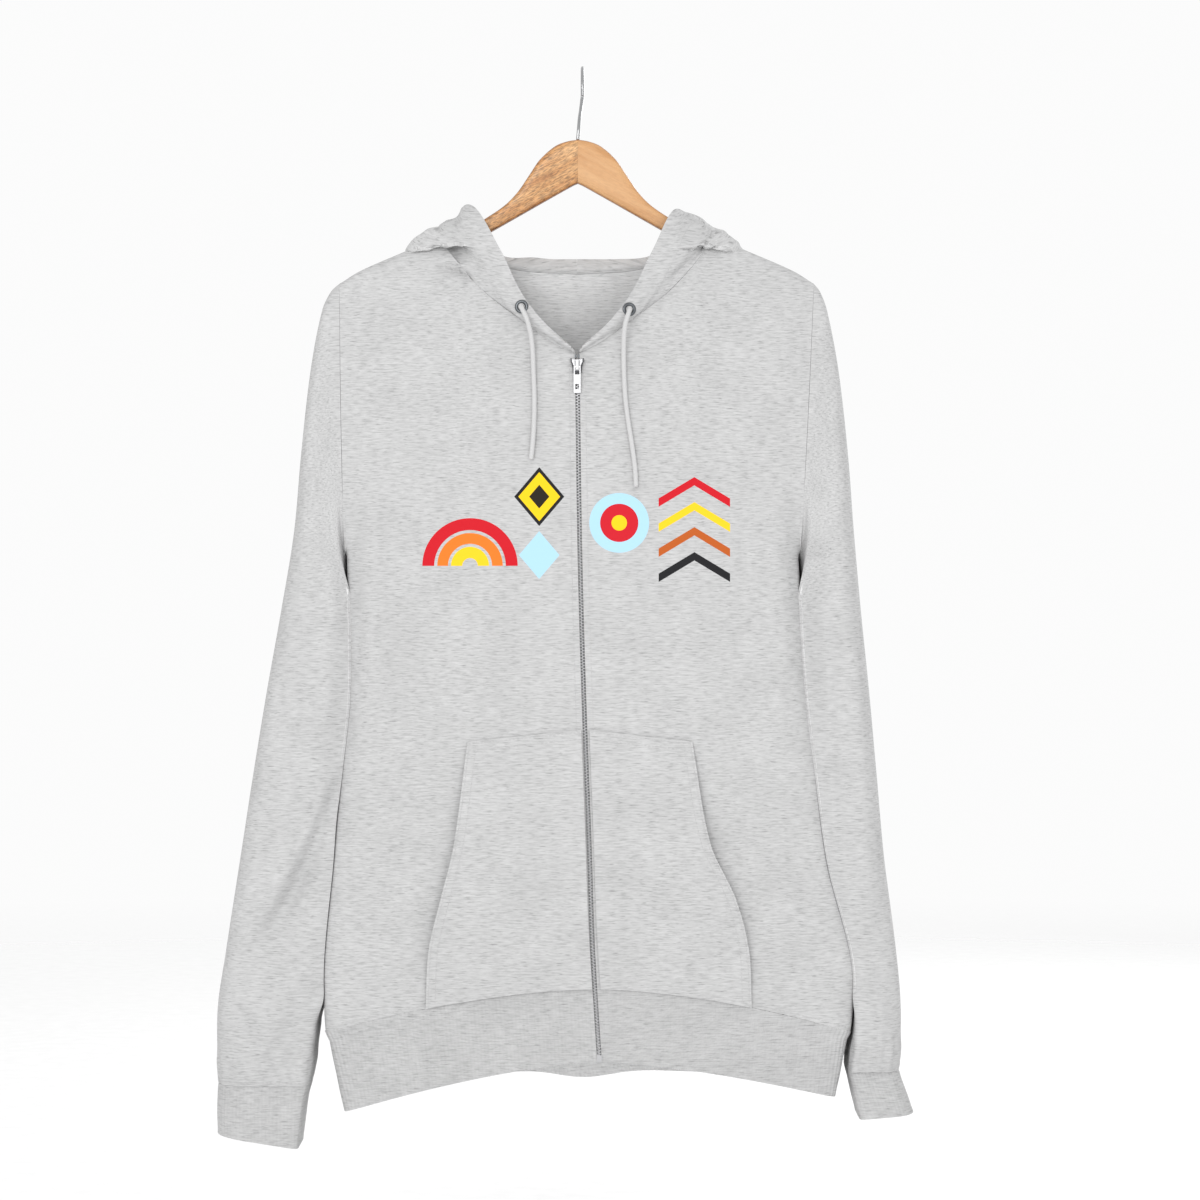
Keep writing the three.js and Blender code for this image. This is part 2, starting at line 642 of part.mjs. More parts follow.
// Flat pieces are drawn in x and z and stand from their back plane towards the front.
function standingPlate(shape, thickness, backY, bevel = 0) {
  const geometry = new THREE.ExtrudeGeometry(shape, {
    depth: thickness - 2 * bevel,
    bevelEnabled: bevel > 0,
    bevelSize: bevel,
    bevelOffset: -bevel,
    bevelThickness: bevel,
    bevelSegments: 2,
    curveSegments: 6,
  });
  geometry.rotateX(Math.PI / 2);
  geometry.translate(0, backY - bevel, 0);
  return geometry;
}

function toSolid(geometry) {
  const bare = geometry.clone();
  bare.deleteAttribute('normal');
  bare.deleteAttribute('uv');
  const merged = mergeVertices(bare, 1e-4);
  return new wasm.Manifold(new wasm.Mesh({
    numProp: 3,
    vertProperties: new Float32Array(merged.attributes.position.array),
    triVerts: new Uint32Array(merged.index.array),
  }));
}

function fromSolid(solid) {
  const mesh = solid.getMesh();
  const geometry = new THREE.BufferGeometry();
  geometry.setAttribute('position', new THREE.Float32BufferAttribute(mesh.vertProperties, 3));
  geometry.setIndex(Array.from(mesh.triVerts));
  return geometry;
}

// Slider with its bridge, and the pull tab whose top bar lies under the bridge.
const slider = {
  topZ: -249.5, lowZ: -262.5, topHalf: 5.6, lowHalf: 3.8, thickness: 2.4, bevel: 0.4, clear: 0.4,
};
const bridge = { half: 1.2, topZ: -251.2, lowZ: -259.6, rise: 3.4, bar: 1, post: 1.3, root: 0.6 };
const pull = { half: 2.95, topZ: -256.3, lowZ: -279, thickness: 1.2, bar: 1.4, outward: 1.2, corner: 0.7 };
const pullEye = { half: 1.9, lowZ: -263.5, corner: 0.4 };
const pullWindow = { half: 1.6, topZ: -271.5, lowZ: -275.8, corner: 0.3 };

function boxSolid(width, depth, height, x, y, z) {
  return toSolid(new THREE.BoxGeometry(width, depth, height).translate(x, y, z));
}

function sliderGeometry(x, backY) {
  const shape = new THREE.Shape();
  shape.moveTo(x - slider.topHalf, slider.topZ);
  shape.lineTo(x - slider.topHalf, slider.topZ - 3);
  shape.quadraticCurveTo(x - slider.lowHalf, slider.topZ - 6, x - slider.lowHalf, slider.lowZ + 1.5);
  shape.quadraticCurveTo(x - slider.lowHalf, slider.lowZ, x - slider.lowHalf + 1.5, slider.lowZ);
  shape.lineTo(x + slider.lowHalf - 1.5, slider.lowZ);
  shape.quadraticCurveTo(x + slider.lowHalf, slider.lowZ, x + slider.lowHalf, slider.lowZ + 1.5);
  shape.quadraticCurveTo(x + slider.lowHalf, slider.topZ - 6, x + slider.topHalf, slider.topZ - 3);
  shape.lineTo(x + slider.topHalf, slider.topZ);
  shape.quadraticCurveTo(x, slider.topZ - 2.5, x - slider.topHalf, slider.topZ);
  const faceY = backY - slider.thickness;
  const postZ = [bridge.topZ - bridge.post / 2, bridge.lowZ + bridge.post / 2];
  let solid = toSolid(standingPlate(shape, slider.thickness, backY, slider.bevel));
  const postDepth = bridge.rise + bridge.root;
  for (const z of postZ) {
    const postY = faceY + bridge.root - postDepth / 2;
    solid = solid.add(boxSolid(2 * bridge.half, postDepth, bridge.post, x, postY, z));
  }
  const barY = faceY - bridge.rise + bridge.bar / 2;
  const length = bridge.topZ - bridge.lowZ;
  solid = solid.add(boxSolid(2 * bridge.half, bridge.bar, length, x, barY, bridge.topZ - length / 2));
  return fromSolid(solid);
}

function roundedRectangle(path, { half, topZ, lowZ, corner }, x) {
  path.moveTo(x - half + corner, lowZ);
  path.lineTo(x + half - corner, lowZ);
  path.quadraticCurveTo(x + half, lowZ, x + half, lowZ + corner);
  path.lineTo(x + half, topZ - corner);
  path.quadraticCurveTo(x + half, topZ, x + half - corner, topZ);
  path.lineTo(x - half + corner, topZ);
  path.quadraticCurveTo(x - half, topZ, x - half, topZ - corner);
  path.lineTo(x - half, lowZ + corner);
  path.quadraticCurveTo(x - half, lowZ, x - half + corner, lowZ);
  return path;
}

function pullGeometry(x, pivotY) {
  const shape = roundedRectangle(new THREE.Shape(), pull, x);
  const eye = roundedRectangle(new THREE.Path(), { ...pullEye, topZ: pull.topZ - pull.bar }, x);
  shape.holes.push(eye, roundedRectangle(new THREE.Path(), pullWindow, x));
  return standingPlate(shape, pull.thickness, pivotY + pull.thickness / 2);
}

// Metal eyelets, one in each front edge of the hood.
const eyelet = { outer: 5.85, inner: 2.9, thickness: 1.3 };
const eyeletPlaces = { left: { x: -51.1, z: -205.2 }, right: { x: 39.3, z: -207.8 } };

function hoodSpot(name, target) {
  let best = null;
  for (let at = 1; at <= 2.4; at += 0.05) {
    const curve = hoodControl(name, at);
    for (let along = 0; along <= 4; along += 0.1) {
      const point = curve.getPoint(along / 4);
      const distance = Math.hypot(point.x - target.x, point.z - target.z);
      if (!best || distance < best.distance) best = { distance, point, at, along };
    }
  }
  const alongStep = hoodControl(name, best.at).getPoint((best.along + 0.2) / 4).sub(best.point);
  const placeStep = hoodControl(name, best.at + 0.1).getPoint(best.along / 4).sub(best.point);
  const normal = alongStep.cross(placeStep).normalize();
  if (normal.y > 0) normal.negate();
  return { point: best.point, normal };
}

function eyeletGeometry(spot) {
  const { outer, inner, thickness } = eyelet;
  const profile = [
    [inner, 0], [outer, 0], [outer, thickness * 0.5], [outer - 0.9, thickness],
    [inner + 0.8, thickness], [inner, thickness * 0.6], [inner, 0],
  ].map(([radius, height]) => new THREE.Vector2(radius, height));
  const geometry = new THREE.LatheGeometry(profile, 18);
  const turn = new THREE.Quaternion().setFromUnitVectors(new THREE.Vector3(0, 1, 0), spot.normal);
  const seat = spot.point.clone().addScaledVector(spot.normal, 0.5);
  return geometry.applyQuaternion(turn).translate(seat.x, seat.y, seat.z);
}

// Hanger: two wooden halves glued at the middle, and a wire hook turned across them.
const hangerX = -4;
const woodThickness = 12;
const woodTop = [
  { from: 0.15, z: -59.8 }, { from: 9, z: -61.2 }, { from: 19.6, z: -65.5 }, { from: 32.6, z: -77 },
  { from: 41.5, z: -90 }, { from: 51, z: -104 }, { from: 62, z: -115.5 }, { from: 79, z: -127.2 },
  { from: 106, z: -144 }, { from: 122, z: -150.5 }, { from: 146, z: -158.4 }, { from: 178, z: -172.2 },
  { from: 190, z: -178.6 },
];
const woodLow = [
  { from: 194, z: -184 }, { from: 190, z: -190 }, { from: 178, z: -187 }, { from: 146, z: -173.5 },
  { from: 106, z: -156.5 }, { from: 73, z: -138 }, { from: 5, z: -99.5 }, { from: 0.15, z: -97.3 },
];
const wireRadius = 1.5;
const hookPath = [
  [-4, 0, -59.4], [-3.3, 0.3, -50], [-2.6, 4, -41], [-1.6, 12, -32.5], [-0.8, 17.4, -25],
  [0, 18.5, -17], [0, 16, -7.7], [0, 9.3, -1], [0, 0, 1.5], [0, -9.3, -1], [0, -16, -7.7],
  [0, -18.5, -17], [0, -17.6, -24],
];

function woodGeometry(sign) {
  const outline = [...woodTop, ...woodLow].map(({ from, z }) => new THREE.Vector2(hangerX + sign * from, z));
  return standingPlate(new THREE.Shape(outline), woodThickness, woodThickness / 2, 3);
}

function roundSection(radius, sections) {
  const points = Array.from({ length: sections }, (unused, i) => {
    const angle = 2 * Math.PI * i / sections;
    return new THREE.Vector2(radius * Math.cos(angle), radius * Math.sin(angle));
  });
  return new THREE.Shape(points);
}

function tubeGeometry(route, radius, steps) {
  const points = route.map((point) => new THREE.Vector3(...point));
  const extrudePath = new THREE.CatmullRomCurve3(points, false, 'centripetal');
  return new THREE.ExtrudeGeometry(roundSection(radius, 8), { extrudePath, steps, bevelEnabled: false });
}

// Drawcord ends that hang free from the eyelets.
const cordRadius = 2;
const cordRoutes = {
  left: [
    [-51.4, -44.7, -205.1], [-51.6, -47.6, -205.4], [-51.2, -50.4, -206.8], [-50, -52.6, -209.2],
    [-48.3, -53.8, -212.6], [-46.5, -54.2, -216.8], [-44.8, -53.9, -222.5], [-43.2, -52.9, -229.5],
    [-42.1, -51.9, -238], [-41.4, -51.6, -248], [-40.9, -52.4, -261], [-40.3, -54, -275],
    [-40.1, -55.4, -289], [-40.4, -56.7, -304], [-41.3, -57.7, -319], [-42.8, -58.6, -334],
  ],
  right: [
    [39.6, -45.5, -207.7], [39.9, -48.4, -208], [39.6, -51.1, -209.5], [38.8, -53.1, -212],
    [37.6, -54.2, -215.6], [36.4, -54.5, -220], [35.4, -54, -226], [34.9, -53, -233.5],
    [34.7, -52.2, -243], [34.8, -52.4, -254], [35.2, -53.4, -267], [36, -54.9, -281],
    [37.6, -56.2, -296], [40, -57.4, -312], [42.6, -58.5, -329], [44.4, -59.3, -344], [45, -59.9, -357],
  ],
};

// Material colours.
const heather = new THREE.MeshStandardMaterial({ color: 0xc9c9ca, roughness: 0.95, metalness: 0 });
const tapeWeave = new THREE.MeshStandardMaterial({ color: 0x9d9da2, roughness: 0.85, metalness: 0 });
const cordBraid = new THREE.MeshStandardMaterial({ color: 0xd2d2d4, roughness: 0.9, metalness: 0 });
const gunmetal = new THREE.MeshStandardMaterial({ color: 0x3d4246, roughness: 0.35, metalness: 0.9 });
const steel = new THREE.MeshStandardMaterial({ color: 0xb4b8bc, roughness: 0.25, metalness: 1 });
const brownWood = new THREE.MeshStandardMaterial({ color: 0xc98f52, roughness: 0.5, metalness: 0 });
const paleWood = new THREE.MeshStandardMaterial({ color: 0xe3ad74, roughness: 0.5, metalness: 0 });
const ribKnit = new THREE.MeshStandardMaterial({ color: 0xbdbdbf, roughness: 0.95, metalness: 0 });

const hoodie = new THREE.Group();

function addMesh(name, geometry, material) {
  const mesh = new THREE.Mesh(geometry, material);
  mesh.name = name;
  hoodie.add(mesh);
  return mesh;
}

const frontWalls = {};
for (const [name, side] of Object.entries(sides)) {
  const grid = frontGrid(name);
  const wall = clothWall(grid, { facing: -side.sign, hold: panelHold(side.sign, (c) => c) });
  frontWalls[name] = { grid, inner: wall.inner };
  addMesh(`front_${name}`, wall.geometry, heather);
}

const backPanel = backGrid();
addMesh('back', clothWall(backPanel, {
  hold: panelHold(0, (c) => Math.abs(c - panelColumns)),
}).geometry, heather);

for (const [name, side] of Object.entries(sides)) {
  const sleeve = clothWall(sleeveGrid(name), { closed: true, facing: side.sign, hold: sleeveHold(name) });
  addMesh(`sleeve_${name}`, sleeve.geometry, heather);
  const cuff = clothWall(cuffGrid(name), {
    closed: true,
    facing: side.sign,
    hold: (r, c, normal) => { if (r === 0) normal.z = 0; },
  });
  addMesh(`cuff_${name}`, cuff.geometry, ribKnit);
}

const band = clothWall(bandGrid(), { hold: bandHold });
addMesh('hem_band', band.geometry, ribKnit);

const zipCourse = {
  left: zipRows(frontWalls.left.inner, band.inner, 0),
  right: zipRows(frontWalls.right.inner, band.inner, 4 * panelColumns),
};
const sliderX = readTable(zipLine, 'z', 'x', slider.topZ);
const zipEdgeLine = frontWalls.right.grid.map((line) => [line[0], line[0]]);
const sliderBackY = gridPoint(zipEdgeLine, panelRow(zipEdgeLine, 0, slider.lowZ), 0).y - slider.clear;
const pullY = sliderBackY - slider.thickness - pull.outward;

for (const [name, side] of Object.entries(sides)) {
  const hood = clothWall(hoodGrid(name), { facing: side.sign, hold: hoodHold });
  addMesh(`hood_${name}`, hood.geometry, heather);
  const pocket = clothWall(pocketGrid(name, frontWalls[name].grid), { facing: -side.sign });
  addMesh(`pocket_${name}`, pocket.geometry, heather);
  const strip = clothWall(tapeGrid(name, zipCourse[name]), { facing: -side.sign, thickness: tape.thickness });
  addMesh(`zip_tape_${name}`, strip.geometry, tapeWeave);
  addMesh(`eyelet_${name}`, eyeletGeometry(hoodSpot(name, eyeletPlaces[name])), gunmetal);
  addMesh(`drawcord_${name}`, tubeGeometry(cordRoutes[name], cordRadius, 22), cordBraid);
  addMesh(`hanger_wood_${name}`, woodGeometry(side.sign), name === 'left' ? brownWood : paleWood);
  addMesh(`zip_stop_${name}`, stopGeometry(side.sign, zipCourse[name][0].edge), gunmetal);
}

const chainWall = clothWall(chainGrid(zipCourse.right), { facing: -1, thickness: chain.thickness });
addMesh('zip_chain', chainWall.geometry, steel);
addMesh('zip_box', bottomBoxGeometry(zipCourse.right), steel);
addMesh('zip_slider', sliderGeometry(sliderX, sliderBackY), steel);
addMesh('zip_pull', pullGeometry(sliderX, pullY), steel);
addMesh('hanger_hook', tubeGeometry(hookPath, wireRadius, 34), steel);

export default hoodie;
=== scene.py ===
import math
import bpy
import numpy as np
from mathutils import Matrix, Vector


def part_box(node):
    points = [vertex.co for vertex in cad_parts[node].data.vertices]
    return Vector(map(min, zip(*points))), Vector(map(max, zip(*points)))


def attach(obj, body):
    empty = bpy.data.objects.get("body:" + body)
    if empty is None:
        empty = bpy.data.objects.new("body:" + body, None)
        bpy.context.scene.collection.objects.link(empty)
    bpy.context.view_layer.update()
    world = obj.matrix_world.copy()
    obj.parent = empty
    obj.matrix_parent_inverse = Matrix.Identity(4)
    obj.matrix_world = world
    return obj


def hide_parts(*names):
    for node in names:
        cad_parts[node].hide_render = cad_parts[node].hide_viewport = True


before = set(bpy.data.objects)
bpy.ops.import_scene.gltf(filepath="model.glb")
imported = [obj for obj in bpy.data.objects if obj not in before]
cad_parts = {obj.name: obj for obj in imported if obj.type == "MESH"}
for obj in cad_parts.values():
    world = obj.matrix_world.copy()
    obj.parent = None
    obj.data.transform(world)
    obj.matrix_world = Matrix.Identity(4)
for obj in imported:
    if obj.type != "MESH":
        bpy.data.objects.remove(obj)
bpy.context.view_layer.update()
scene = bpy.context.scene
print("frame loaded:", len(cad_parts), "nodes")

# All tables below are in millimetres in the part's own frame. Meshes are made in metres.
mm = 0.001


def mix(a, b, t):
    return a + (b - a) * t


def smoothStep(low, high, value):
    t = np.clip((value - low) / (high - low), 0, 1)
    return t * t * (3 - 2 * t)


# Smooth curve through a table's rows, read at one or many values of its key column
def readTable(table, key, name, at):
    keys, values = np.array(table[key], float), np.array(table[name], float)
    if keys[1] < keys[0]:
        keys, values = keys[::-1], values[::-1]
    at = np.clip(at, keys[0], keys[-1])
    n = np.arange(len(keys))
    before, after = np.maximum(n - 1, 0), np.minimum(n + 1, len(keys) - 1)
    slopes = (values[after] - values[before]) / (keys[after] - keys[before])
    i = np.clip(np.searchsorted(keys, at, side="right") - 1, 0, len(keys) - 2)
    width = keys[i + 1] - keys[i]
    t = (at - keys[i]) / width
    level = mix(values[i], values[i + 1], t * t * (3 - 2 * t))
    return level + width * (slopes[i] * t * (1 - t) ** 2 - slopes[i + 1] * t * t * (1 - t))


# Camera at the photograph's place: level, looking along +Y
viewpoint = {"place": (0.0149, -3.05, -0.4526), "fieldDegrees": 19.07}
camera = bpy.data.objects.new("camera", bpy.data.cameras.new("camera"))
scene.collection.objects.link(camera)
camera.location = viewpoint["place"]
camera.rotation_euler = (math.pi / 2, 0, 0)
camera.data.sensor_width = 36
camera.data.angle = math.radians(viewpoint["fieldDegrees"])
camera.data.clip_end = 60
scene.camera = camera


# A new material with its nodes
class Nodes:
    def __init__(self, name):
        self.material = bpy.data.materials.new(name)
        self.material.use_nodes = True
        self.tree = self.material.node_tree
        self.tree.nodes.clear()
        out = self.add("ShaderNodeOutputMaterial")
        self.shader = self.add("ShaderNodeBsdfPrincipled")
        self.link(self.shader.outputs[0], out.inputs["Surface"])

    def add(self, kind, **settings):
        node = self.tree.nodes.new(kind)
        for key, value in settings.items():
            setattr(node, key, value)
        return node

    def link(self, output, socket):
        self.tree.links.new(output, socket)

    def put(self, value, socket):
        if isinstance(value, bpy.types.NodeSocket):
            self.link(value, socket)
        else:
            socket.default_value = value

    def math(self, operation, *values):
        node = self.add("ShaderNodeMath", operation=operation)
        for value, socket in zip(values, node.inputs):
            self.put(value, socket)
        return node.outputs[0]

    def coordinates(self, kind, scale, turn=None, shift=(0, 0, 0)):
        place = self.add("ShaderNodeTexCoord").outputs[kind]
        if turn:   # turned first, so that the long scale follows the turned axis
            turned = self.add("ShaderNodeMapping")
            turned.inputs["Rotation"].default_value = turn
            self.link(place, turned.inputs["Vector"])
            place = turned.outputs[0]
        mapping = self.add("ShaderNodeMapping")
        mapping.inputs["Scale"].default_value = scale
        mapping.inputs["Location"].default_value = shift
        self.link(place, mapping.inputs["Vector"])
        return mapping.outputs[0]

    def noise(self, vector, detail, roughness):
        node = self.add("ShaderNodeTexNoise")
        self.link(vector, node.inputs["Vector"])
        node.inputs["Scale"].default_value = 1
        node.inputs["Detail"].default_value = detail
        node.inputs["Roughness"].default_value = roughness
        return node.outputs[0]

    def ramp(self, factor, stops):
        node = self.add("ShaderNodeValToRGB")
        self.put(factor, node.inputs[0])
        while len(node.color_ramp.elements) < len(stops):
            node.color_ramp.elements.new(0.5)
        for element, (place, colour) in zip(node.color_ramp.elements, stops):
            element.position = place
            element.color = (*colour, 1)
        return node.outputs[0]

    def blend(self, kind, factor, a, b):
        node = self.add("ShaderNodeMix", data_type="RGBA", blend_type=kind)
        self.put(factor, node.inputs[0])
        self.put(a if isinstance(a, bpy.types.NodeSocket) else (*a, 1), node.inputs[6])
        self.put(b if isinstance(b, bpy.types.NodeSocket) else (*b, 1), node.inputs[7])
        return node.outputs[2]

    def bump(self, height, strength, distance):
        node = self.add("ShaderNodeBump")
        node.inputs["Strength"].default_value = strength
        node.inputs["Distance"].default_value = distance
        self.link(height, node.inputs["Height"])
        return node.outputs[0]

    # The three parts of a texture coordinate
    def parts(self, kind):
        split = self.add("ShaderNodeSeparateXYZ")
        self.link(self.add("ShaderNodeTexCoord").outputs[kind], split.inputs[0])
        return split.outputs

    def set(self, **values):
        for name, value in values.items():
            self.put(value, self.shader.inputs[name.replace("_", " ")])


def grey(value):
    return value, value, value


# Heather jersey: short level streaks in the yarn, darker flecks, and a faint loop texture
heather = {
    "light": 0.562, "middle": 0.489, "dark": 0.39, "fleck": 0.21, "fleckShare": 0.6,
    "streakLength": 0.0105, "streakHeight": 0.0013, "fleckLength": 0.009, "fleckHeight": 0.00075,
    "fleckShift": (3.1, 7.7, 0), "clouds": (22, 30, 1), "loop": 0.0011,
    "ribPitch": 0.0032, "bandsPerUnit": 3.183,   # what a wave texture draws in one unit
}


def heatherKnit(name, tone=1.0, ribbed=False, printed=False, brushed=False):
    n = Nodes(name)
    h = heather
    streaks = n.noise(n.coordinates("UV", (1 / h["streakLength"], 1 / h["streakHeight"], 1)), 3, 0.6)
    colour = n.ramp(streaks, [
        (0.3, grey(h["dark"] * tone)), (0.46, grey(h["middle"] * tone)), (0.66, grey(h["light"] * tone)),
    ])
    fleckScale = (1 / h["fleckLength"], 1 / h["fleckHeight"], 1)
    flecks = n.noise(n.coordinates("UV", fleckScale, shift=h["fleckShift"]), 1.5, 0.5)
    fleckAmount = n.math("MULTIPLY", n.ramp(flecks, [(0.61, grey(0)), (0.7, grey(1))]), h["fleckShare"])
    colour = n.blend("MIX", fleckAmount, colour, grey(h["fleck"] * tone))
    clouds = n.noise(n.coordinates("UV", h["clouds"]), 2, 0.5)
    colour = n.blend("MULTIPLY", 1.0, colour, n.ramp(clouds, [(0.3, grey(0.955)), (0.7, grey(1.03))]))
    loops = n.noise(n.coordinates("UV", (1 / h["loop"], 1.6 / h["loop"], 1)), 1, 0.5)
    normal = n.bump(loops, 0.3 if brushed else 0.12, 0.0004)
    if ribbed:
        wave = n.add("ShaderNodeTexWave", wave_type="BANDS", bands_direction="X")
        n.link(n.coordinates("UV", (1 / h["ribPitch"] / h["bandsPerUnit"], 0.0001, 1)), wave.inputs["Vector"])
        wave.inputs["Scale"].default_value = 1
        wave.inputs["Distortion"].default_value = 0
        ribShade = n.ramp(wave.outputs[0], [(0.1, grey(0.975)), (0.6, grey(1.0))])
        colour = n.blend("MULTIPLY", 1.0, colour, ribShade)
    if printed:
        colour = printOn(n, colour)
    n.set(Base_Color=colour, Roughness=0.95, Specular_IOR_Level=0.1, Normal=normal)
    return n.material


# Chest print: plain shapes in a loose row, over the zip. Places are x and z in mm.
chestPrint = {
    "ink": 0.985, "behind": -0.02,
    "red": (0.6, 0.012, 0.022), "orange": (0.84, 0.2, 0.025), "yellow": (0.92, 0.6, 0.02),
    "black": (0.016, 0.016, 0.018), "blue": (0.42, 0.67, 0.82), "brown": (0.5, 0.11, 0.02),
    "shapes": [
        ("arch", -94, -424, 40, 30, "red"), ("arch", -94, -424, 27.5, 18.5, "orange"),
        ("arch", -94, -424, 16, 6.5, "yellow"),
        ("diamond", -36, -366, 21, 0, "black"), ("diamond", -36, -366, 17.5, 0, "yellow"),
        ("diamond", -36, -366, 8.5, 0, "black"),
        ("diamond", -36, -415, 17, 0, "blue"),
        ("disc", 31, -388, 25, 0, "blue"), ("disc", 31, -388, 16, 0, "red"),
        ("disc", 31, -388, 6.5, 0, "yellow"),
        ("chevron", 94, -362, 30, 7, "red"), ("chevron", 94, -383, 30, 7, "yellow"),
        ("chevron", 94, -404, 30, 7, "brown"), ("chevron", 94, -425, 30, 7, "black"),
    ],
}


def printOn(n, colour):
    placeX, placeY, placeZ = n.parts("Object")
    facesFront = n.math("LESS_THAN", placeY, chestPrint["behind"])
    for kind, x, z, size, small, ink in chestPrint["shapes"]:
        dx = n.math("SUBTRACT", placeX, x * mm)
        dz = n.math("SUBTRACT", placeZ, z * mm)
        if kind in ("disc", "arch"):
            squares = n.math("ADD", n.math("MULTIPLY", dx, dx), n.math("MULTIPLY", dz, dz))
            away = n.math("SQRT", squares)
            inside = n.math("LESS_THAN", away, size * mm)
        if kind == "arch":
            inside = n.math("MULTIPLY", inside, n.math("GREATER_THAN", away, small * mm))
            inside = n.math("MULTIPLY", inside, n.math("GREATER_THAN", dz, 0.0))
        if kind == "diamond":
            away = n.math("ADD", n.math("ABSOLUTE", dx), n.math("MULTIPLY", n.math("ABSOLUTE", dz), 0.85))
            inside = n.math("LESS_THAN", away, size * mm)
        if kind == "chevron":
            rise = n.math("MULTIPLY", n.math("SUBTRACT", n.math("ABSOLUTE", dx), size * mm / 2), 0.6)
            away = n.math("ABSOLUTE", n.math("ADD", dz, rise))
            inside = n.math("MULTIPLY", n.math("LESS_THAN", away, small * mm / 2),
                            n.math("LESS_THAN", n.math("ABSOLUTE", dx), size * mm))
        inside = n.math("MULTIPLY", n.math("MULTIPLY", inside, facesFront), chestPrint["ink"])
        colour = n.blend("MIX", inside, colour, chestPrint[ink])
    return colour


bodyKnit = heatherKnit("heather jersey")
printedKnit = heatherKnit("heather jersey with chest print", printed=True)
# Inner faces are a lighter copy of the jersey. The inside is brushed and a little paler, and the rest of the extra
# lightness is painted light that offsets the shade inside the garment.
insideKnitWithPaintedLight = heatherKnit("heather jersey inside", tone=1.45, brushed=True)
hoodLining = heatherKnit("heather hood lining", tone=1.08, brushed=True)
ribKnit = heatherKnit("heather rib", tone=0.945, ribbed=True)
# The inside of the rib is a lighter copy too. This is partly its own paler tone and partly painted light that offsets
# the shade inside the hem.
insideRibWithPaintedLight = heatherKnit("heather rib inside", tone=1.62, ribbed=True)
print("cloth materials made")


# Cloth shells. A grid is rows x columns x 3, in mm, and is the shell's outer face.
def gridNormals(grid, closed, facing):
    if closed:
        along = np.roll(grid, -1, 1) - np.roll(grid, 1, 1)
    else:
        along = np.gradient(grid, axis=1)
    down = np.gradient(grid, axis=0)
    normals = np.cross(along, down) * facing
    return normals / np.maximum(np.linalg.norm(normals, axis=2, keepdims=True), 1e-9)


def lengths(grid, axis):
    steps = np.linalg.norm(np.diff(grid, axis=axis), axis=2)
    start = np.zeros((grid.shape[0], 1)) if axis == 1 else np.zeros((1, grid.shape[1]))
    return np.concatenate([start, np.cumsum(steps, axis=axis)], axis=axis)


# A piece of the garment or its hanger, from points in mm
def makeMesh(name, points, faces, materials, slots=None, uv=None, sharpDegrees=50):
    mesh = bpy.data.meshes.new(name)
    faces = faces.tolist() if isinstance(faces, np.ndarray) else faces
    mesh.from_pydata((np.asarray(points) * mm).tolist(), [], faces)
    for material in materials:
        mesh.materials.append(material)
    mesh.polygons.foreach_set("use_smooth", [True] * len(mesh.polygons))
    if slots is not None:
        mesh.polygons.foreach_set("material_index", slots)
    if uv is not None:
        corner = np.empty(len(mesh.loops), int)
        mesh.loops.foreach_get("vertex_index", corner)
        layer = mesh.uv_layers.new(name="cloth")
        layer.data.foreach_set("uv", (np.asarray(uv)[corner] * mm).ravel())
    mesh.update()
    mesh.set_sharp_from_angle(angle=math.radians(sharpDegrees))
    piece = bpy.data.objects.new(name, mesh)
    scene.collection.objects.link(piece)
    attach(piece, "garment")
    return piece


# Hides the solid that a piece stands for
def standsFor(node):
    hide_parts(node)


# Quads between rings of points, one after another
def ringFaces(count, around, wrapped=False):
    a = np.arange(count * around).reshape(count, around)
    b = np.roll(a, -1, axis=1)
    c, d = np.roll(b, -1, axis=0), np.roll(a, -1, axis=0)
    faces = np.stack([a, b, c, d], axis=2)
    return (faces if wrapped else faces[:-1]).reshape(-1, 4).tolist()


# A piece of cloth between its outer face and an inner face one thickness behind it
def clothShell(name, grid, outside, inside=None, thickness=1.8, closed=False, facing=1, uvShift=(0, 0),
               flatMap=None):
    rows, columns = grid.shape[:2]
    if closed:   # one more column for the texture's seam
        grid = np.concatenate([grid, grid[:, :1]], axis=1)
        normals = gridNormals(grid[:, :-1], True, facing)
        normals = np.concatenate([normals, normals[:, :1]], axis=1)
        columns += 1
    else:
        normals = gridNormals(grid, False, facing)
    inner = grid - normals * thickness
    if flatMap is None:   # rows of the knit stay level
        flatMap = lengths(grid, 1), -grid[..., 2]
    flat = np.stack([flatMap[0] + uvShift[0], flatMap[1] + uvShift[1]], axis=2).reshape(-1, 2)
    ids = np.arange(rows * columns).reshape(rows, columns)
    a, b, c, d = ids[:-1, :-1], ids[:-1, 1:], ids[1:, 1:], ids[1:, :-1]
    front = np.stack([a, b, c, d], axis=2).reshape(-1, 4)
    back = front[:, ::-1] + rows * columns
    rims = []
    lines = [(ids[0], False), (ids[-1], True)] + ([] if closed else [(ids[:, 0], True), (ids[:, -1], False)])
    for line, turned in lines:
        behind = line + rows * columns
        quads = np.stack([line[:-1], behind[:-1], behind[1:], line[1:]], axis=1)
        rims.append(quads[:, ::-1] if turned else quads)
    faces = np.concatenate([front, back, *rims])
    if facing < 0:
        faces = faces[:, ::-1]
    slots = [0] * len(front) + [1] * len(back) + [0] * (len(faces) - len(front) - len(back))
    points = np.concatenate([grid.reshape(-1, 3), inner.reshape(-1, 3)])
    piece = makeMesh(name, points, faces, [outside, inside or outside], slots, np.concatenate([flat, flat]))
    if closed:
        weld = piece.modifiers.new("weld", "WELD")
        weld.merge_threshold = 1e-5
    return piece


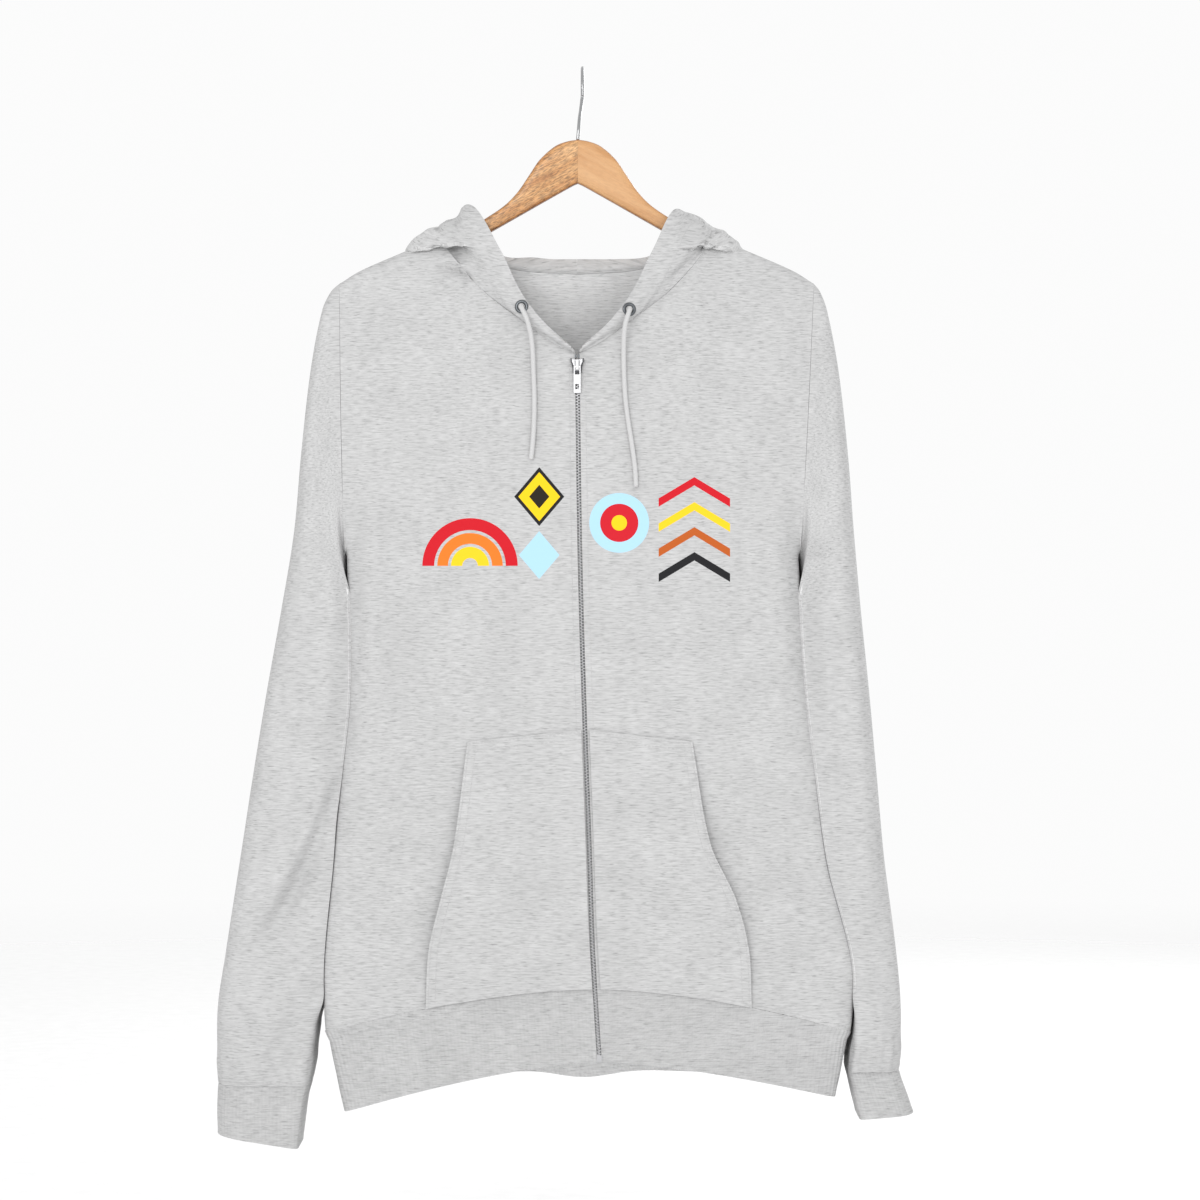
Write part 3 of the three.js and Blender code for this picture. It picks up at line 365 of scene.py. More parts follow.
# A line of the grid's surface at a distance from one of its edges, with the normals there
def lineFromEdge(grid, edge, distance, facing, closed=False):
    normals = gridNormals(grid, closed, facing)
    if edge in ("top", "bottom"):
        grid, normals = grid.transpose(1, 0, 2), normals.transpose(1, 0, 2)
    if edge in ("bottom", "last"):
        grid, normals = grid[:, ::-1], normals[:, ::-1]
    points, directions = [], []
    for line, turned, away in zip(grid, normals, lengths(grid, 1)):
        points.append([np.interp(distance, away, line[:, k]) for k in range(3)])
        directions.append([np.interp(distance, away, turned[:, k]) for k in range(3)])
    return np.array(points), np.array(directions)


# Edges that turn in towards a seam
def turnIn(grid, facing, closed=False, **edges):
    normals = gridNormals(grid, closed, facing)
    shift = np.zeros(grid.shape[:2])
    down, across = lengths(grid, 0), lengths(grid, 1)
    away = {"top": down, "bottom": down[-1:] - down, "first": across, "last": across[:, -1:] - across}
    for edge, (depth, width) in edges.items():
        shift = shift - depth * np.exp(-(away[edge] / width) ** 2)
    return grid + normals * shift[..., None]


# Soft folds: each is a line of x and z, its half width and its depth (ridges are positive)
def foldField(folds, x, z):
    total = np.zeros(np.broadcast(x, z).shape)
    for line, halfWidth, depth in folds:
        line = np.array(line, float)
        runs = np.linalg.norm(np.diff(line, axis=0), axis=1)
        length, before = runs.sum(), 0.0
        best = np.full(total.shape, 1e9)
        place = np.zeros(total.shape)
        for (x0, z0), (x1, z1), run in zip(line[:-1], line[1:], runs):
            t = np.clip(((x - x0) * (x1 - x0) + (z - z0) * (z1 - z0)) / run ** 2, 0, 1)
            away = np.hypot(x - mix(x0, x1, t), z - mix(z0, z1, t))
            nearer = away < best
            best = np.where(nearer, away, best)
            place = np.where(nearer, (before + t * run) / length, place)
            before += run
        fade = np.sin(np.pi * np.clip(place, 0.02, 0.98)) ** 0.7
        width = halfWidth * (0.75 + 0.5 * place)   # a fold widens as it runs down
        total = total + depth * np.exp(-(best / width) ** 2) * fade
    return total


# Slow uneven waves of hanging cloth, mostly running down
def slackWaves(x, z, seed, height):
    rng = np.random.default_rng(seed)
    total = 0
    for k in range(9):
        long = rng.uniform(45, 150)
        angle = rng.normal(0, 0.45)
        phase = rng.uniform(0, 2 * np.pi)
        run = x * np.cos(angle) + 0.35 * z * np.sin(angle)
        total = total + height * (long / 150) * np.sin(2 * np.pi * run / long + phase)
    return total / 2


# A value that differs between the front and the back, by which one a point is on
def byFace(isFront, value):
    return np.where(isFront, value("front"), value("back"))


print("shell tools ready")


# Body sizes, as in the part's solids
cloth = {"thickness": 1.8, "seamGap": 0.3, "touch": 0.05, "middleX": -5, "tipZ": -182, "underarmZ": -415, "neckZ": -246}
sides = {
    "left": {
        "sign": -1, "tipX": 207, "underarmX": 199.5, "wristZ": -862, "wristInnerX": 231, "hemX": 203.5, "hemZ": -883.5,
    },
    "right": {
        "sign": 1, "tipX": 197, "underarmX": 183, "wristZ": -850, "wristInnerX": 224, "hemX": 216, "hemZ": -871,
    },
}
shoulderLine = {"from": [0, 110, 146, 185, 202], "z": [-95, -139.5, -154.5, -171.5, -182]}
frontNeckLine = {"from": [0, 20, 42, 61, 79, 98, 112, 122], "z": [-246, -236, -220, -206, -191, -170, -152, -144.5]}
backNeckLine = {"from": [0, 50, 90, 122], "z": [-172, -169, -158, -144.5]}
bodyEdge = {
    "z": [-415, -530, -600, -675, -760, -820],
    "left": [199.5, 198, 204.5, 211, 219, 217.5], "right": [183, 190.5, 198.5, 208.5, 229.5, 227],
}
bodyDepth = {
    "z": [-182, -300, -415, -560, -700, -820],
    "front": [47, 54, 60, 64, 66, 62], "back": [38, 46, 53, 59, 62, 60],
}
sleeveOuter = {
    "z": [-182, -189, -205, -256, -325, -393, -461, -529, -597, -666, -751, -800, -862],
    "left": [207, 214.5, 222, 231.5, 239, 245, 256, 268, 279, 289.5, 302.5, 309.5, 309.4],
    "right": [197, 202.5, 208.5, 218, 225.5, 230.6, 236.6, 243.4, 249.4, 255.5, 266, 270, 268.5],
}
sleeveDepth = {"z": [-415, -530, -666, -800, -862], "half": [54, 53, 46, 40, 37], "forward": [0, 4, 10, 13, 8]}
cuffShape = {
    "left": {"down": [0, 0.3, 1], "inner": [231, 236, 240], "outer": [309.4, 309.3, 309.8],
             "innerZ": [-862, -878.5, -915.5], "outerZ": [-862, -875.5, -904.5], "half": [36, 34, 34]},
    "right": {"down": [0, 0.3, 1], "inner": [224, 228, 234], "outer": [268.5, 271, 281],
              "innerZ": [-850, -862, -890.5], "outerZ": [-850, -861, -886.5], "half": [36, 34, 35]},
}
zipLine = {"z": [-246, -419, -536, -661, -745, -840], "x": [-4.3, -1.8, 1.5, 6, 8.8, 14.5]}
armholeRows = [0, 0.008, 0.03, 0.11, 0.24, 0.4, 0.57, 0.73, 0.86, 0.95, 1]
bodyEndZ, fanZ = -816, mix(-415, -816, 1 / 6)
neckReach, neckShare = 122, 0.597
hang = {"zipSlot": 1.95, "ridge": 10, "flareDrop": 190, "flarePower": 1.8, "sideRoundness": 12, "crown": 0.1}

# Long folds that the solids have too: from a top point to a low point
bodyFolds = {
    "front": [(-168, -300, -140, -640, 17, 6), (-95, -330, -165, -790, 20, 4),
              (150, -300, 128, -560, 16, 5), (120, -560, 205, -810, 18, 5)],
    "back": [(-150, -260, -90, -700, 19, 6), (140, -280, 95, -740, 17, 5),
             (20, -420, -25, -800, 22, 5), (-185, -520, -160, -812, 15, 4)],
}
sleeveFolds = {
    ("left", "front"): [(-600, -840, 1, 0.1, 0.16, 6), (-380, -600, 0.75, 0.35, 0.2, 4)],
    ("right", "front"): [(-430, -690, 0.2, 0.7, 0.2, 5)],
    ("left", "back"): [(-480, -760, 0.3, 0.75, 0.2, 5)],
    ("right", "back"): [(-560, -820, 0.8, 0.25, 0.18, 5)],
}

# Finer folds that only the cloth here has, listed one by one
creases = {
    "front": [
        ([(-186, -300), (-192, -392), (-194, -534), (-207, -622)], 11, -4.9),
        ([(-170, -350), (-172, -470), (-180, -600)], 13, 3.0),
        ([(176, -290), (180, -382), (190, -534), (193, -565)], 10, -4.6),
        ([(160, -340), (163, -470), (172, -600)], 13, 2.8),
        ([(-197, -587), (-213, -629), (-241, -692), (-268, -734), (-289, -766)], 7, -5.7),
        ([(-212, -600), (-230, -650), (-258, -706), (-284, -742)], 8, 4.6),
        ([(-124, -168), (-110, -172), (-95, -178), (-88, -172)], 3.2, -6.1),
        ([(-122, -160), (-106, -163), (-92, -168)], 4.5, 4.9),
        ([(-150, -230), (-128, -300), (-112, -380)], 16, -2.3),
        ([(118, -215), (110, -290), (100, -360)], 15, -2.1),
        ([(-60, -470), (-72, -540), (-70, -640)], 15, -2.7),
        ([(60, -455), (74, -540), (80, -650)], 14, -2.8),
        ([(30, -600), (38, -690), (48, -790)], 11, -3.4),
        ([(-30, -640), (-38, -720), (-34, -800)], 13, -2.5),
        ([(262, -640), (250, -700), (256, -790)], 8, -3.8),
        ([(240, -760), (252, -800), (246, -842)], 6, 3.4),
        ([(-296, -790), (-276, -820), (-262, -856)], 7, -3.8),
        ([(-246, -770), (-256, -810), (-282, -850)], 7, 3.0),
        ([(218, -420), (228, -520), (232, -600)], 9, 2.7),
        ([(-216, -260), (-224, -340), (-218, -430)], 10, -3.0),
    ],
    "back": [
        ([(-188, -330), (-184, -440), (-190, -560)], 11, -4.2),
        ([(178, -300), (180, -430), (186, -560)], 11, -4.6),
        ([(-120, -300), (-60, -420), (-40, -560)], 18, 5.2),
        ([(118, -330), (70, -450), (56, -620)], 17, 5.0),
        ([(-70, -560), (-88, -680), (-70, -790)], 14, -5.4),
        ([(70, -600), (60, -700), (82, -795)], 13, -5.6),
        ([(0, -400), (8, -520), (-6, -640)], 15, -4.4),
        ([(-270, -560), (-262, -660), (-280, -780)], 9, -4.2),
        ([(236, -520), (246, -640), (240, -760)], 9, -4.0),
        ([(-240, -700), (-262, -770), (-284, -840)], 8, 3.6),
        ([(250, -690), (236, -760), (244, -830)], 7, 3.2),
    ],
}


# All that the hanging cloth adds to the smooth form, along y
def clothDrift(face, x, z):
    away = foldField(creases[face], x, z) + slackWaves(x, z, 5 if face == "front" else 6, 0.55)
    return -away if face == "front" else away


def zipEdgeX(sign, z):
    return readTable(zipLine, "z", "x", z) + sign * hang["zipSlot"]


def shoulderZ(x):
    return readTable(shoulderLine, "from", "z", np.abs(x - cloth["middleX"]))


def bodyEdgeX(name, z):
    side = sides[name]
    share = np.clip((cloth["tipZ"] - z) / (cloth["tipZ"] - cloth["underarmZ"]), 0, 1)
    above = mix(side["tipX"], side["underarmX"], share)
    return np.where(z < cloth["underarmZ"], readTable(bodyEdge, "z", name, z), above)


# Depth of the hanging body by its drop below the shoulder ridge
def hangDepth(drop, full):
    ridge = hang["ridge"] * np.sqrt(1 - (1 - np.clip(drop / hang["ridge"], 0, 1)) ** 2)
    flare = 1 - (1 - np.clip(drop / hang["flareDrop"], 0, 1)) ** hang["flarePower"]
    return ridge + (full - hang["ridge"]) * flare


# How the body's depth closes towards its sides, more so lower down
def sideClosing(name, x, z):
    t = np.clip(x * sides[name]["sign"] / bodyEdgeX(name, z), 0, 1)
    height = np.clip((cloth["tipZ"] - z) / (cloth["tipZ"] - cloth["underarmZ"]), 0, 1)
    n = hang["sideRoundness"]
    return np.maximum(1 - height ** 5 * t ** n, 0) ** (1 / n) * (1 - hang["crown"] * t * t)


def longFolds(face, x, z):
    total = 0
    for topX, topZ, lowX, lowZ, width, depth in bodyFolds[face]:
        t = np.clip((z - topZ) / (lowZ - topZ), 0, 1)
        across = (x - mix(topX, lowX, t)) / width
        total = total + depth * np.exp(-across ** 2) * np.sin(np.pi * t)
    return total


def bodyY(name, face, x, z):
    full = readTable(bodyDepth, "z", face, z)
    y = hangDepth(shoulderZ(x) - z, full) * sideClosing(name, x, z)
    y = np.maximum(y - np.minimum(longFolds(face, x, z), y * 0.5), cloth["seamGap"] / 2)
    return -y if face == "front" else y


def hemSeamZ(face, t):
    return mix(-778, bodyEndZ, t ** 1.7) if face == "front" else mix(-808, bodyEndZ, t * t)


def bodyPoints(name, face, t, down):
    side = sides[name]
    sign = side["sign"]
    front = face == "front"
    neck = frontNeckLine if front else backNeckLine
    startX = zipEdgeX(sign, cloth["neckZ"]) if front else cloth["middleX"] * (1 - down)
    topX = mix(startX, sign * side["tipX"], t)
    reach = np.abs(topX - cloth["middleX"])
    topZ = np.where(reach < neckReach, readTable(neck, "from", "z", reach), shoulderZ(topX))
    z = mix(topZ, hemSeamZ(face, t), down)
    edgeX = zipEdgeX(sign, z) if front else cloth["middleX"] * (1 - down)
    x = mix(edgeX, sign * bodyEdgeX(name, z), t)
    y = bodyY(name, face, x, z)
    # folds die out at the shoulder ridge and where the cloth turns at the sides
    room = smoothStep(0, 26, shoulderZ(x) - z) * smoothStep(2, 22, np.abs(y))
    y = y + clothDrift(face, x, z) * room * (smoothStep(0, 12, np.abs(x - edgeX)) if front else 1)
    x, y, z = np.broadcast_arrays(x, y, z)
    return np.stack([x, y, z], axis=-1)


def panelShares(count):
    u = np.linspace(0, 1, count)
    return 0.4 * u + 0.6 * np.sin(np.pi / 2 * u)


def rowShares(count):
    top = (np.arange(9) / 9) ** 2 * 0.03
    return np.concatenate([top, np.linspace(0.03, 1, count)])


# Fronts and back
panels = {
    "rows": 165, "columns": 66,
    "frontCut": (0.235, 0.69), "frontArea": 0.136, "backCut": (0.47, 0.68), "backArea": 0.285,
}
downRows = rowShares(panels["rows"])
grids = {}
for name, side in sides.items():
    t, down = np.meshgrid(panelShares(panels["columns"]), downRows)
    grid = bodyPoints(name, "front", t, down)
    grids["front", name] = turnIn(grid, -side["sign"], top=(0.5, 2.5), bottom=(0.5, 3), first=(0.25, 1.2))
    piece = clothShell(f"front_{name}_cloth", grids["front", name], printedKnit, insideKnitWithPaintedLight,
                       facing=-side["sign"], uvShift=(0 if name == "left" else 700, 0))
    standsFor(f"front_{name}")

halves = [bodyPoints(name, "back", *np.meshgrid(panelShares(panels["columns"]), downRows)) for name in sides]
backGrid = np.concatenate([halves[0][:, ::-1], halves[1][:, 1:]], axis=1)
grids["back"] = turnIn(backGrid, 1, top=(0.5, 2.5), bottom=(0.5, 3))
backPiece = clothShell("back_cloth", grids["back"], bodyKnit, insideKnitWithPaintedLight, uvShift=(1500, 0))
standsFor("back")
print("fronts and back made")


# Sleeves: a fan of rows round the underarm, then level rows down to the wrist
sleeve = {
    "rows": 150, "fanRows": 60, "around": 112, "roundness": 2.8, "innerRoundness": 12, "width": 76, "depth": 47,
    "clear": 0.5, "hug": 4, "lip": 1.2, "valley": 0.2, "swell": 0.006, "rest": -1.7,
    "opening": {"left": 6, "right": 0.5}, "openingTop": -788,
    "gathers": 9, "gatherHeight": 1.1, "gatherReach": 34, "cut": (0.33, 0.66), "area": 0.15,
}


# A sine or cosine that draws a rounded square in place of a circle
def squared(value, roundness):
    return np.sign(value) * np.abs(value) ** (2 / roundness)


def ovalSection(angle):
    roundness = np.where(angle > np.pi / 2, sleeve["innerRoundness"], sleeve["roundness"])
    return (1 - squared(np.cos(angle), roundness)) / 2, np.abs(np.sin(angle)) ** (2 / roundness)


# Angles that give evenly spaced points along the section
def evenAngles():
    n = sleeve["innerRoundness"] / 2
    u = np.linspace(0, math.sqrt(0.5) ** (1 / n), 200)
    corner = [np.pi / 2 + np.arcsin(u ** n), np.pi - np.arcsin(u[::-1] ** n)]
    angles = np.concatenate([np.linspace(0, np.pi / 2, 300)[:-1], *corner])
    share, bow = ovalSection(angles)
    steps = np.hypot(np.diff(share) * sleeve["width"], np.diff(bow) * sleeve["depth"])
    run = np.concatenate([[0], np.cumsum(steps)])
    return run / run[-1], angles


evenRun, evenTurn = evenAngles()


# Section of a sleeve or cuff: share across from its outer edge, and depth, by share of a half turn
def sleeveSection(angle):
    return ovalSection(np.interp(angle / np.pi, evenRun, evenTurn))


# How far the sleeve leans over the body's rounded side at a depth from the middle plane
def sleeveLean(name, face, depth, z):
    edge = bodyEdgeX(name, z)
    full = readTable(bodyDepth, "z", face, z) * (1 - hang["crown"])
    n = hang["sideRoundness"]
    reach = edge * (1 - np.clip(depth / full, 0, 0.999) ** n) ** (1 / n)
    underarmZ = cloth["underarmZ"]
    beside = smoothStep(underarmZ + 10, underarmZ - 40, z) * smoothStep(bodyEndZ + 4, bodyEndZ + 34, z)
    lip = sleeve["lip"] * smoothStep(0.86, 0.94, depth / full)
    return (np.minimum(edge - reach, sleeve["hug"]) + lip) * beside


# The sleeve sinks softly to the body's surface where they meet
def sleeveValley(name, isFront, x, y, z, innerX, blend):
    tipX = innerX - sleeve["hug"] - sleeve["lip"]
    low = byFace(isFront, lambda face: np.abs(bodyY(name, face, sides[name]["sign"] * tipX, z)))
    away = np.maximum(x - tipX, 0)
    cap = low + sleeve["rest"] + sleeve["valley"] * away + sleeve["swell"] * away ** 2
    underarmZ = cloth["underarmZ"]
    beside = smoothStep(underarmZ + 50, underarmZ + 12, z) * smoothStep(bodyEndZ, bodyEndZ + 45, z)
    return mix(y, np.sign(y) * np.minimum(np.abs(y), cap), beside * blend)


def sleeveInnerX(name, z):
    side = sides[name]
    fanX = bodyEdgeX(name, fanZ) + sleeve["clear"]
    upper = mix(side["underarmX"] + sleeve["clear"], fanX, (z - cloth["underarmZ"]) / (fanZ - cloth["underarmZ"]))
    opening = sleeve["opening"][name]
    beside = bodyEdgeX(name, z) + sleeve["clear"] + opening * smoothStep(sleeve["openingTop"], bodyEndZ, z)
    endX = bodyEdgeX(name, bodyEndZ) + sleeve["clear"] + opening
    lower = mix(endX, side["wristInnerX"], (z - bodyEndZ) / (side["wristZ"] - bodyEndZ))
    return np.where(z > fanZ, upper, np.where(z > bodyEndZ, beside, lower))


def sleeveTrough(name, face, across, z):
    total = 0
    for topZ, lowZ, topShare, lowShare, width, depth in sleeveFolds[name, face]:
        t = np.clip((z - topZ) / (lowZ - topZ), 0, 1)
        away = (across - mix(topShare, lowShare, t)) / width
        total = total + depth * np.exp(-away ** 2) * np.sin(np.pi * t)
    return total


def sleeveGrid(name):
    side = sides[name]
    fan = np.linspace(0, 1, sleeve["fanRows"]) ** 1.4
    level = np.linspace(fanZ, side["wristZ"], sleeve["rows"] - sleeve["fanRows"] + 1)[1:]
    outerZ = np.concatenate([mix(cloth["tipZ"], fanZ, fan ** 1.25), level])[:, None]
    innerZ = np.concatenate([mix(cloth["underarmZ"], fanZ, fan ** 1.5), level])[:, None]
    blend = np.concatenate([np.minimum(fan * 1.6, 1), np.ones(len(level))])[:, None]
    half = sleeve["around"] // 2
    j = np.concatenate([np.arange(half + 1), np.arange(half - 1, 0, -1)]) / half
    toward = np.concatenate([[0], -np.ones(half - 1), [0], np.ones(half - 1)])[None, :]
    isFront = toward < 0.5
    armholeShare = np.interp(j * 10, np.arange(11), armholeRows)[None, :]
    angle = np.pi * j[None, :]
    outerX = readTable(sleeveOuter, "z", name, outerZ)
    innerX = sleeveInnerX(name, innerZ)
    levelShare, bow = sleeveSection(angle)
    share = mix(armholeShare, levelShare, blend)
    armholeZ = mix(cloth["tipZ"], cloth["underarmZ"], armholeShare)
    armholeX = side["sign"] * bodyEdgeX(name, armholeZ)
    armholeY = byFace(isFront, lambda face: np.abs(bodyY(name, face, armholeX, armholeZ)))
    z = mix(outerZ, innerZ, share)
    halfDepth = readTable(sleeveDepth, "z", "half", innerZ)
    forward = readTable(sleeveDepth, "z", "forward", innerZ)
    roundY = halfDepth * bow
    trough = byFace(isFront, lambda face: sleeveTrough(name, face, share, z))
    roundY = np.maximum(roundY - trough * np.minimum(roundY / halfDepth, 1), 0)
    section = toward * mix(armholeY, roundY, blend)
    y = section - forward * blend
    lean = byFace(isFront, lambda face: sleeveLean(name, face, np.abs(y), z))
    lean = lean * np.concatenate([np.minimum(fan * 5, 1), np.ones(len(level))])[:, None]
    across = mix(outerX, innerX - lean, share)
    y = sleeveValley(name, isFront, across, y, z, innerX, blend)
    x = side["sign"] * (across + np.where(np.arange(len(z)) == 0, cloth["touch"], 0)[:, None])
    drift = byFace(isFront, lambda face: clothDrift(face, x, z)) * smoothStep(2, 20, np.abs(section))
    x, y, z = np.broadcast_arrays(x, y + drift, z)
    grid = np.stack([x, y, z], axis=-1)
    # gathers into the cuff
    down = smoothStep(side["wristZ"] + sleeve["gatherReach"], side["wristZ"] + 3, z)
    waves = np.sin(2 * np.pi * j[None, :] * sleeve["gathers"] * toward + 1.3)
    gather = sleeve["gatherHeight"] * waves * np.sin(np.pi * np.clip(down, 0, 1) * 0.86)
    return grid + gridNormals(grid, True, side["sign"]) * (gather * np.abs(toward))[..., None]


cuff = {
    "rows": 20, "ribs": 62, "ribHeight": 0.24, "forward": 8, "swell": 0.8,
    "cut": {"left": (0.2, 0.062), "right": (0.165, 0.056)},
}


def cuffGrid(name):
    side = sides[name]
    down = np.linspace(0, 1, cuff["rows"])[:, None]
    j = np.arange(cuff["ribs"] * 4) / (cuff["ribs"] * 4)
    angle = (2 * np.pi * j)[None, :]
    read = lambda column: readTable(cuffShape[name], "down", column, down)
    share, bow = sleeveSection(np.minimum(angle, 2 * np.pi - angle))
    x = side["sign"] * mix(read("outer"), read("inner"), share)
    y = -read("half") * bow * np.where(angle <= np.pi, 1, -1) - cuff["forward"]
    z = mix(read("outerZ"), read("innerZ"), share) - cloth["touch"]
    x, y, z = np.broadcast_arrays(x, y, z)
    grid = np.stack([x, y, z], axis=-1)
    around = lengths(np.concatenate([grid, grid[:, :1]], axis=1), 1)
    ribs = cuff["ribHeight"] * np.sin(2 * np.pi * cuff["ribs"] * around[:, :-1] / around[:, -1:])
    swell = cuff["swell"] * np.sin(np.pi * np.clip(down * 1.1, 0, 1))
    return grid + gridNormals(grid, True, side["sign"]) * (ribs + swell)[..., None]


for name, side in sides.items():
    grids["sleeve", name] = turnIn(sleeveGrid(name), side["sign"], True, top=(0.12, 2.5), bottom=(0.5, 2.5))
    piece = clothShell(f"sleeve_{name}_cloth", grids["sleeve", name], bodyKnit, insideKnitWithPaintedLight, closed=True,
                       facing=side["sign"], uvShift=(2300 if name == "left" else 2900, 0))
    standsFor(f"sleeve_{name}")
    grids["cuff", name] = turnIn(cuffGrid(name), side["sign"], True, top=(0.4, 2.5))
    piece = clothShell(f"cuff_{name}_rib", grids["cuff", name], ribKnit, insideRibWithPaintedLight, closed=True,
                       facing=side["sign"], uvShift=(3500, 0 if name == "left" else 300))
    standsFor(f"cuff_{name}")
print("sleeves and cuffs made")


# Rib band round the hem
band = {
    "rows": 18, "ribs": 280, "ribHeight": 0.24, "tuck": 2.5, "frontZ": -840, "backZ": -860,
    "backDip": 7, "dipWidth": 0.16, "cut": (0.88, 0.066),
}


def bandPoints(name, face, t, down):
    side = sides[name]
    front = face == "front"
    topZ = hemSeamZ(face, t) - cloth["touch"]
    dip = band["backDip"] * np.exp(-((t / band["dipWidth"]) ** 2))
    middleZ = band["frontZ"] if front else band["backZ"] - dip
    z = mix(topZ, mix(middleZ, side["hemZ"], t ** (1.5 if front else 2)), down)
    edge = mix(bodyEdgeX(name, bodyEndZ), side["hemX"], down)
    tuck = band["tuck"] * np.minimum(down / 0.12, 1)
    startX = zipEdgeX(side["sign"], z) if front else 0
    x = mix(startX, side["sign"] * (edge - tuck * t), t)
    top = np.abs(bodyPoints(name, face, t, 1.0)[..., 1])
    y = np.where(t >= 1, 0, (top - tuck * (1 - t)) * mix(1, 0.93, down))
    x, y, z = np.broadcast_arrays(x, -np.maximum(y, 0) if front else np.maximum(y, 0), z)
    return np.stack([x, y, z], axis=-1)


def bandGrid():
    down = np.linspace(0, 1, band["rows"])[:, None]
    t = panelShares(band["ribs"])[None, :]
    course = np.concatenate([
        bandPoints("left", "front", t, down), bandPoints("left", "back", t[:, ::-1], down)[:, 1:],
        bandPoints("right", "back", t, down)[:, 1:], bandPoints("right", "front", t[:, ::-1], down)[:, 1:],
    ], axis=1)
    around = lengths(course, 1)
    ribs = band["ribHeight"] * np.sin(2 * np.pi * band["ribs"] * around / around[:, -1:])
    return course + gridNormals(course, False, 1) * ribs[..., None]


grids["band"] = turnIn(bandGrid(), 1, top=(0.4, 2.5))
bandPiece = clothShell("hem_band_rib", grids["band"], ribKnit, insideRibWithPaintedLight, uvShift=(4300, 0))
standsFor("hem_band")
print("hem band made")


# Hood. Points are distance from the middle, y and z, by place round the neck, from the zip (0) to the nape (8)
hoodEdge = [
    (7, -49, -237), (27, -48, -219), (46, -41, -194), (65, -28, -155), (89, -5, -116.5),
    (110, 44, -133), (103, 77, -176), (62, 90, -216), (0, 94, -230),
]
hoodEdgeRight, hoodRightIn = {4: (84, -5, -119.5)}, 5.5
hoodFolds = {
    4: [(108, 4, -131), (137, 3, -144), (139.5, -10.5, -154.5)],
    5: [(86, 23, -131), (135, 38, -170), (141, 50, -160)],
    6: [(67, 33, -157), (116, 60, -262), (121, 80, -260)],
    7: [(36, 37, -160), (68, 65, -348), (71, 89, -346)],
    8: [(0, 38, -160), (0, 67, -388), (0, 92, -386)],
}
hood = {
    "rows": 91, "columns": 120, "bulge": 3, "upright": 3.2, "cornerLift": 1.4, "cut": (0.36, 0.5), "area": 0.075,
    "tunnel": 20, "tunnelRise": 0.9, "strips": (0.12, 0.3, 0.55, 0.78),
}
seamPlaces = [0, 1, 2, 3, 3.85, 4, 4.15, 5, 6, 7, 8]
neckShares = [0, 0.171, 0.328, 0.47, 0.583, neckShare]

# Creases of the hood where it lies beside the neck, by x and z as the front shows them
hoodCreases = {
    "left": [
        ([(-138, -134), (-118, -146), (-98, -160), (-84, -178)], 4.5, -2.6),
        ([(-128, -128), (-112, -136), (-96, -146)], 5, 2.4),
        ([(-112, -118), (-98, -136), (-84, -158), (-70, -182)], 5, -1.8),
    ],
    "right": [
        ([(124, -136), (106, -150), (86, -172), (70, -186)], 3.0, -3.8),
        ([(116, -130), (98, -146), (80, -166), (64, -184)], 5, 2.2),
        ([(134, -146), (112, -163), (92, -182)], 3.0, -3.0),
        ([(98, -120), (88, -136), (76, -158)], 5, -1.6),
    ],
}


# Lumps and dips along the top of the folded hood: x, half width and height
hoodLumps = {
    "left": [(-99, 5, 1.4), (-110, 4.5, -4.2), (-121, 6, -0.8), (-132, 4.5, -4.6), (-142, 5, -1.5)],
    "right": [(76, 4, 0.8), (88, 4.5, -1.6), (101, 6, 1.2), (116, 4.5, -2.6), (128, 5, -1.2)],
}


# Centripetal Catmull-Rom curve through points, read at shares of its length in pieces
def splineAt(points, share):
    points = np.asarray(points, float)
    last = len(points) - 1
    place = share * last
    i = min(int(place), last - 1)
    t = place - i
    p1, p2 = points[i], points[i + 1]
    p0 = points[i - 1] if i > 0 else 2 * points[0] - points[1]
    p3 = points[i + 2] if i + 2 <= last else 2 * points[last] - points[last - 1]
    gaps = [np.dot(b - a, b - a) ** 0.25 for a, b in ((p0, p1), (p1, p2), (p2, p3))]
    d1 = gaps[1] if gaps[1] > 1e-4 else 1
    d0 = gaps[0] if gaps[0] > 1e-4 else d1
    d2 = gaps[2] if gaps[2] > 1e-4 else d1
    m1 = ((p1 - p0) / d0 - (p2 - p0) / (d0 + d1) + (p2 - p1) / d1) * d1
    m2 = ((p2 - p1) / d1 - (p3 - p1) / (d1 + d2) + (p3 - p2) / d2) * d1
    return p1 + m1 * t + (3 * (p2 - p1) - 2 * m1 - m2) * t ** 2 + (2 * (p1 - p2) + m1 + m2) * t ** 3


def neckSeamPoint(name, at):
    if at <= 4:
        point = bodyPoints(name, "front", np.interp(at, seamPlaces[:6], neckShares), 0.0)
    else:
        point = bodyPoints(name, "back", np.interp(at, seamPlaces[5:], neckShares[::-1]), 0.0)
    lift = cloth["touch"] + hood["cornerLift"] * math.exp(-(((at - 4.1) / 0.4) ** 2))
    return np.asarray(point) + [0, 0, lift]


def hoodControls(name, k):
    sign = sides[name]["sign"]
    place = lambda row: np.array([cloth["middleX"] + sign * row[0], row[1], row[2]], float)
    edge = place(hoodEdgeRight[k] if name == "right" and k in hoodEdgeRight else hoodEdge[k])
    if k in hoodFolds:
        inward = np.array([-hoodRightIn if name == "right" and k == 4 else 0, 0, 0])
        fold, innerBase, outerBase = (place(row) for row in hoodFolds[k])
        upright = neckSeamPoint(name, k) + [0, -0.3, hood["upright"]]
        upright = mix(mix(neckSeamPoint(name, k), fold, 0.2), upright, min(k - 4, 1))
        return [upright, fold, innerBase + inward, outerBase + inward, edge]
    seam = neckSeamPoint(name, k)
    strip = [mix(seam, edge, s) + [0, -hood["bulge"] * math.sin(math.pi * s), 0] for s in hood["strips"]]
    return [*strip, edge]


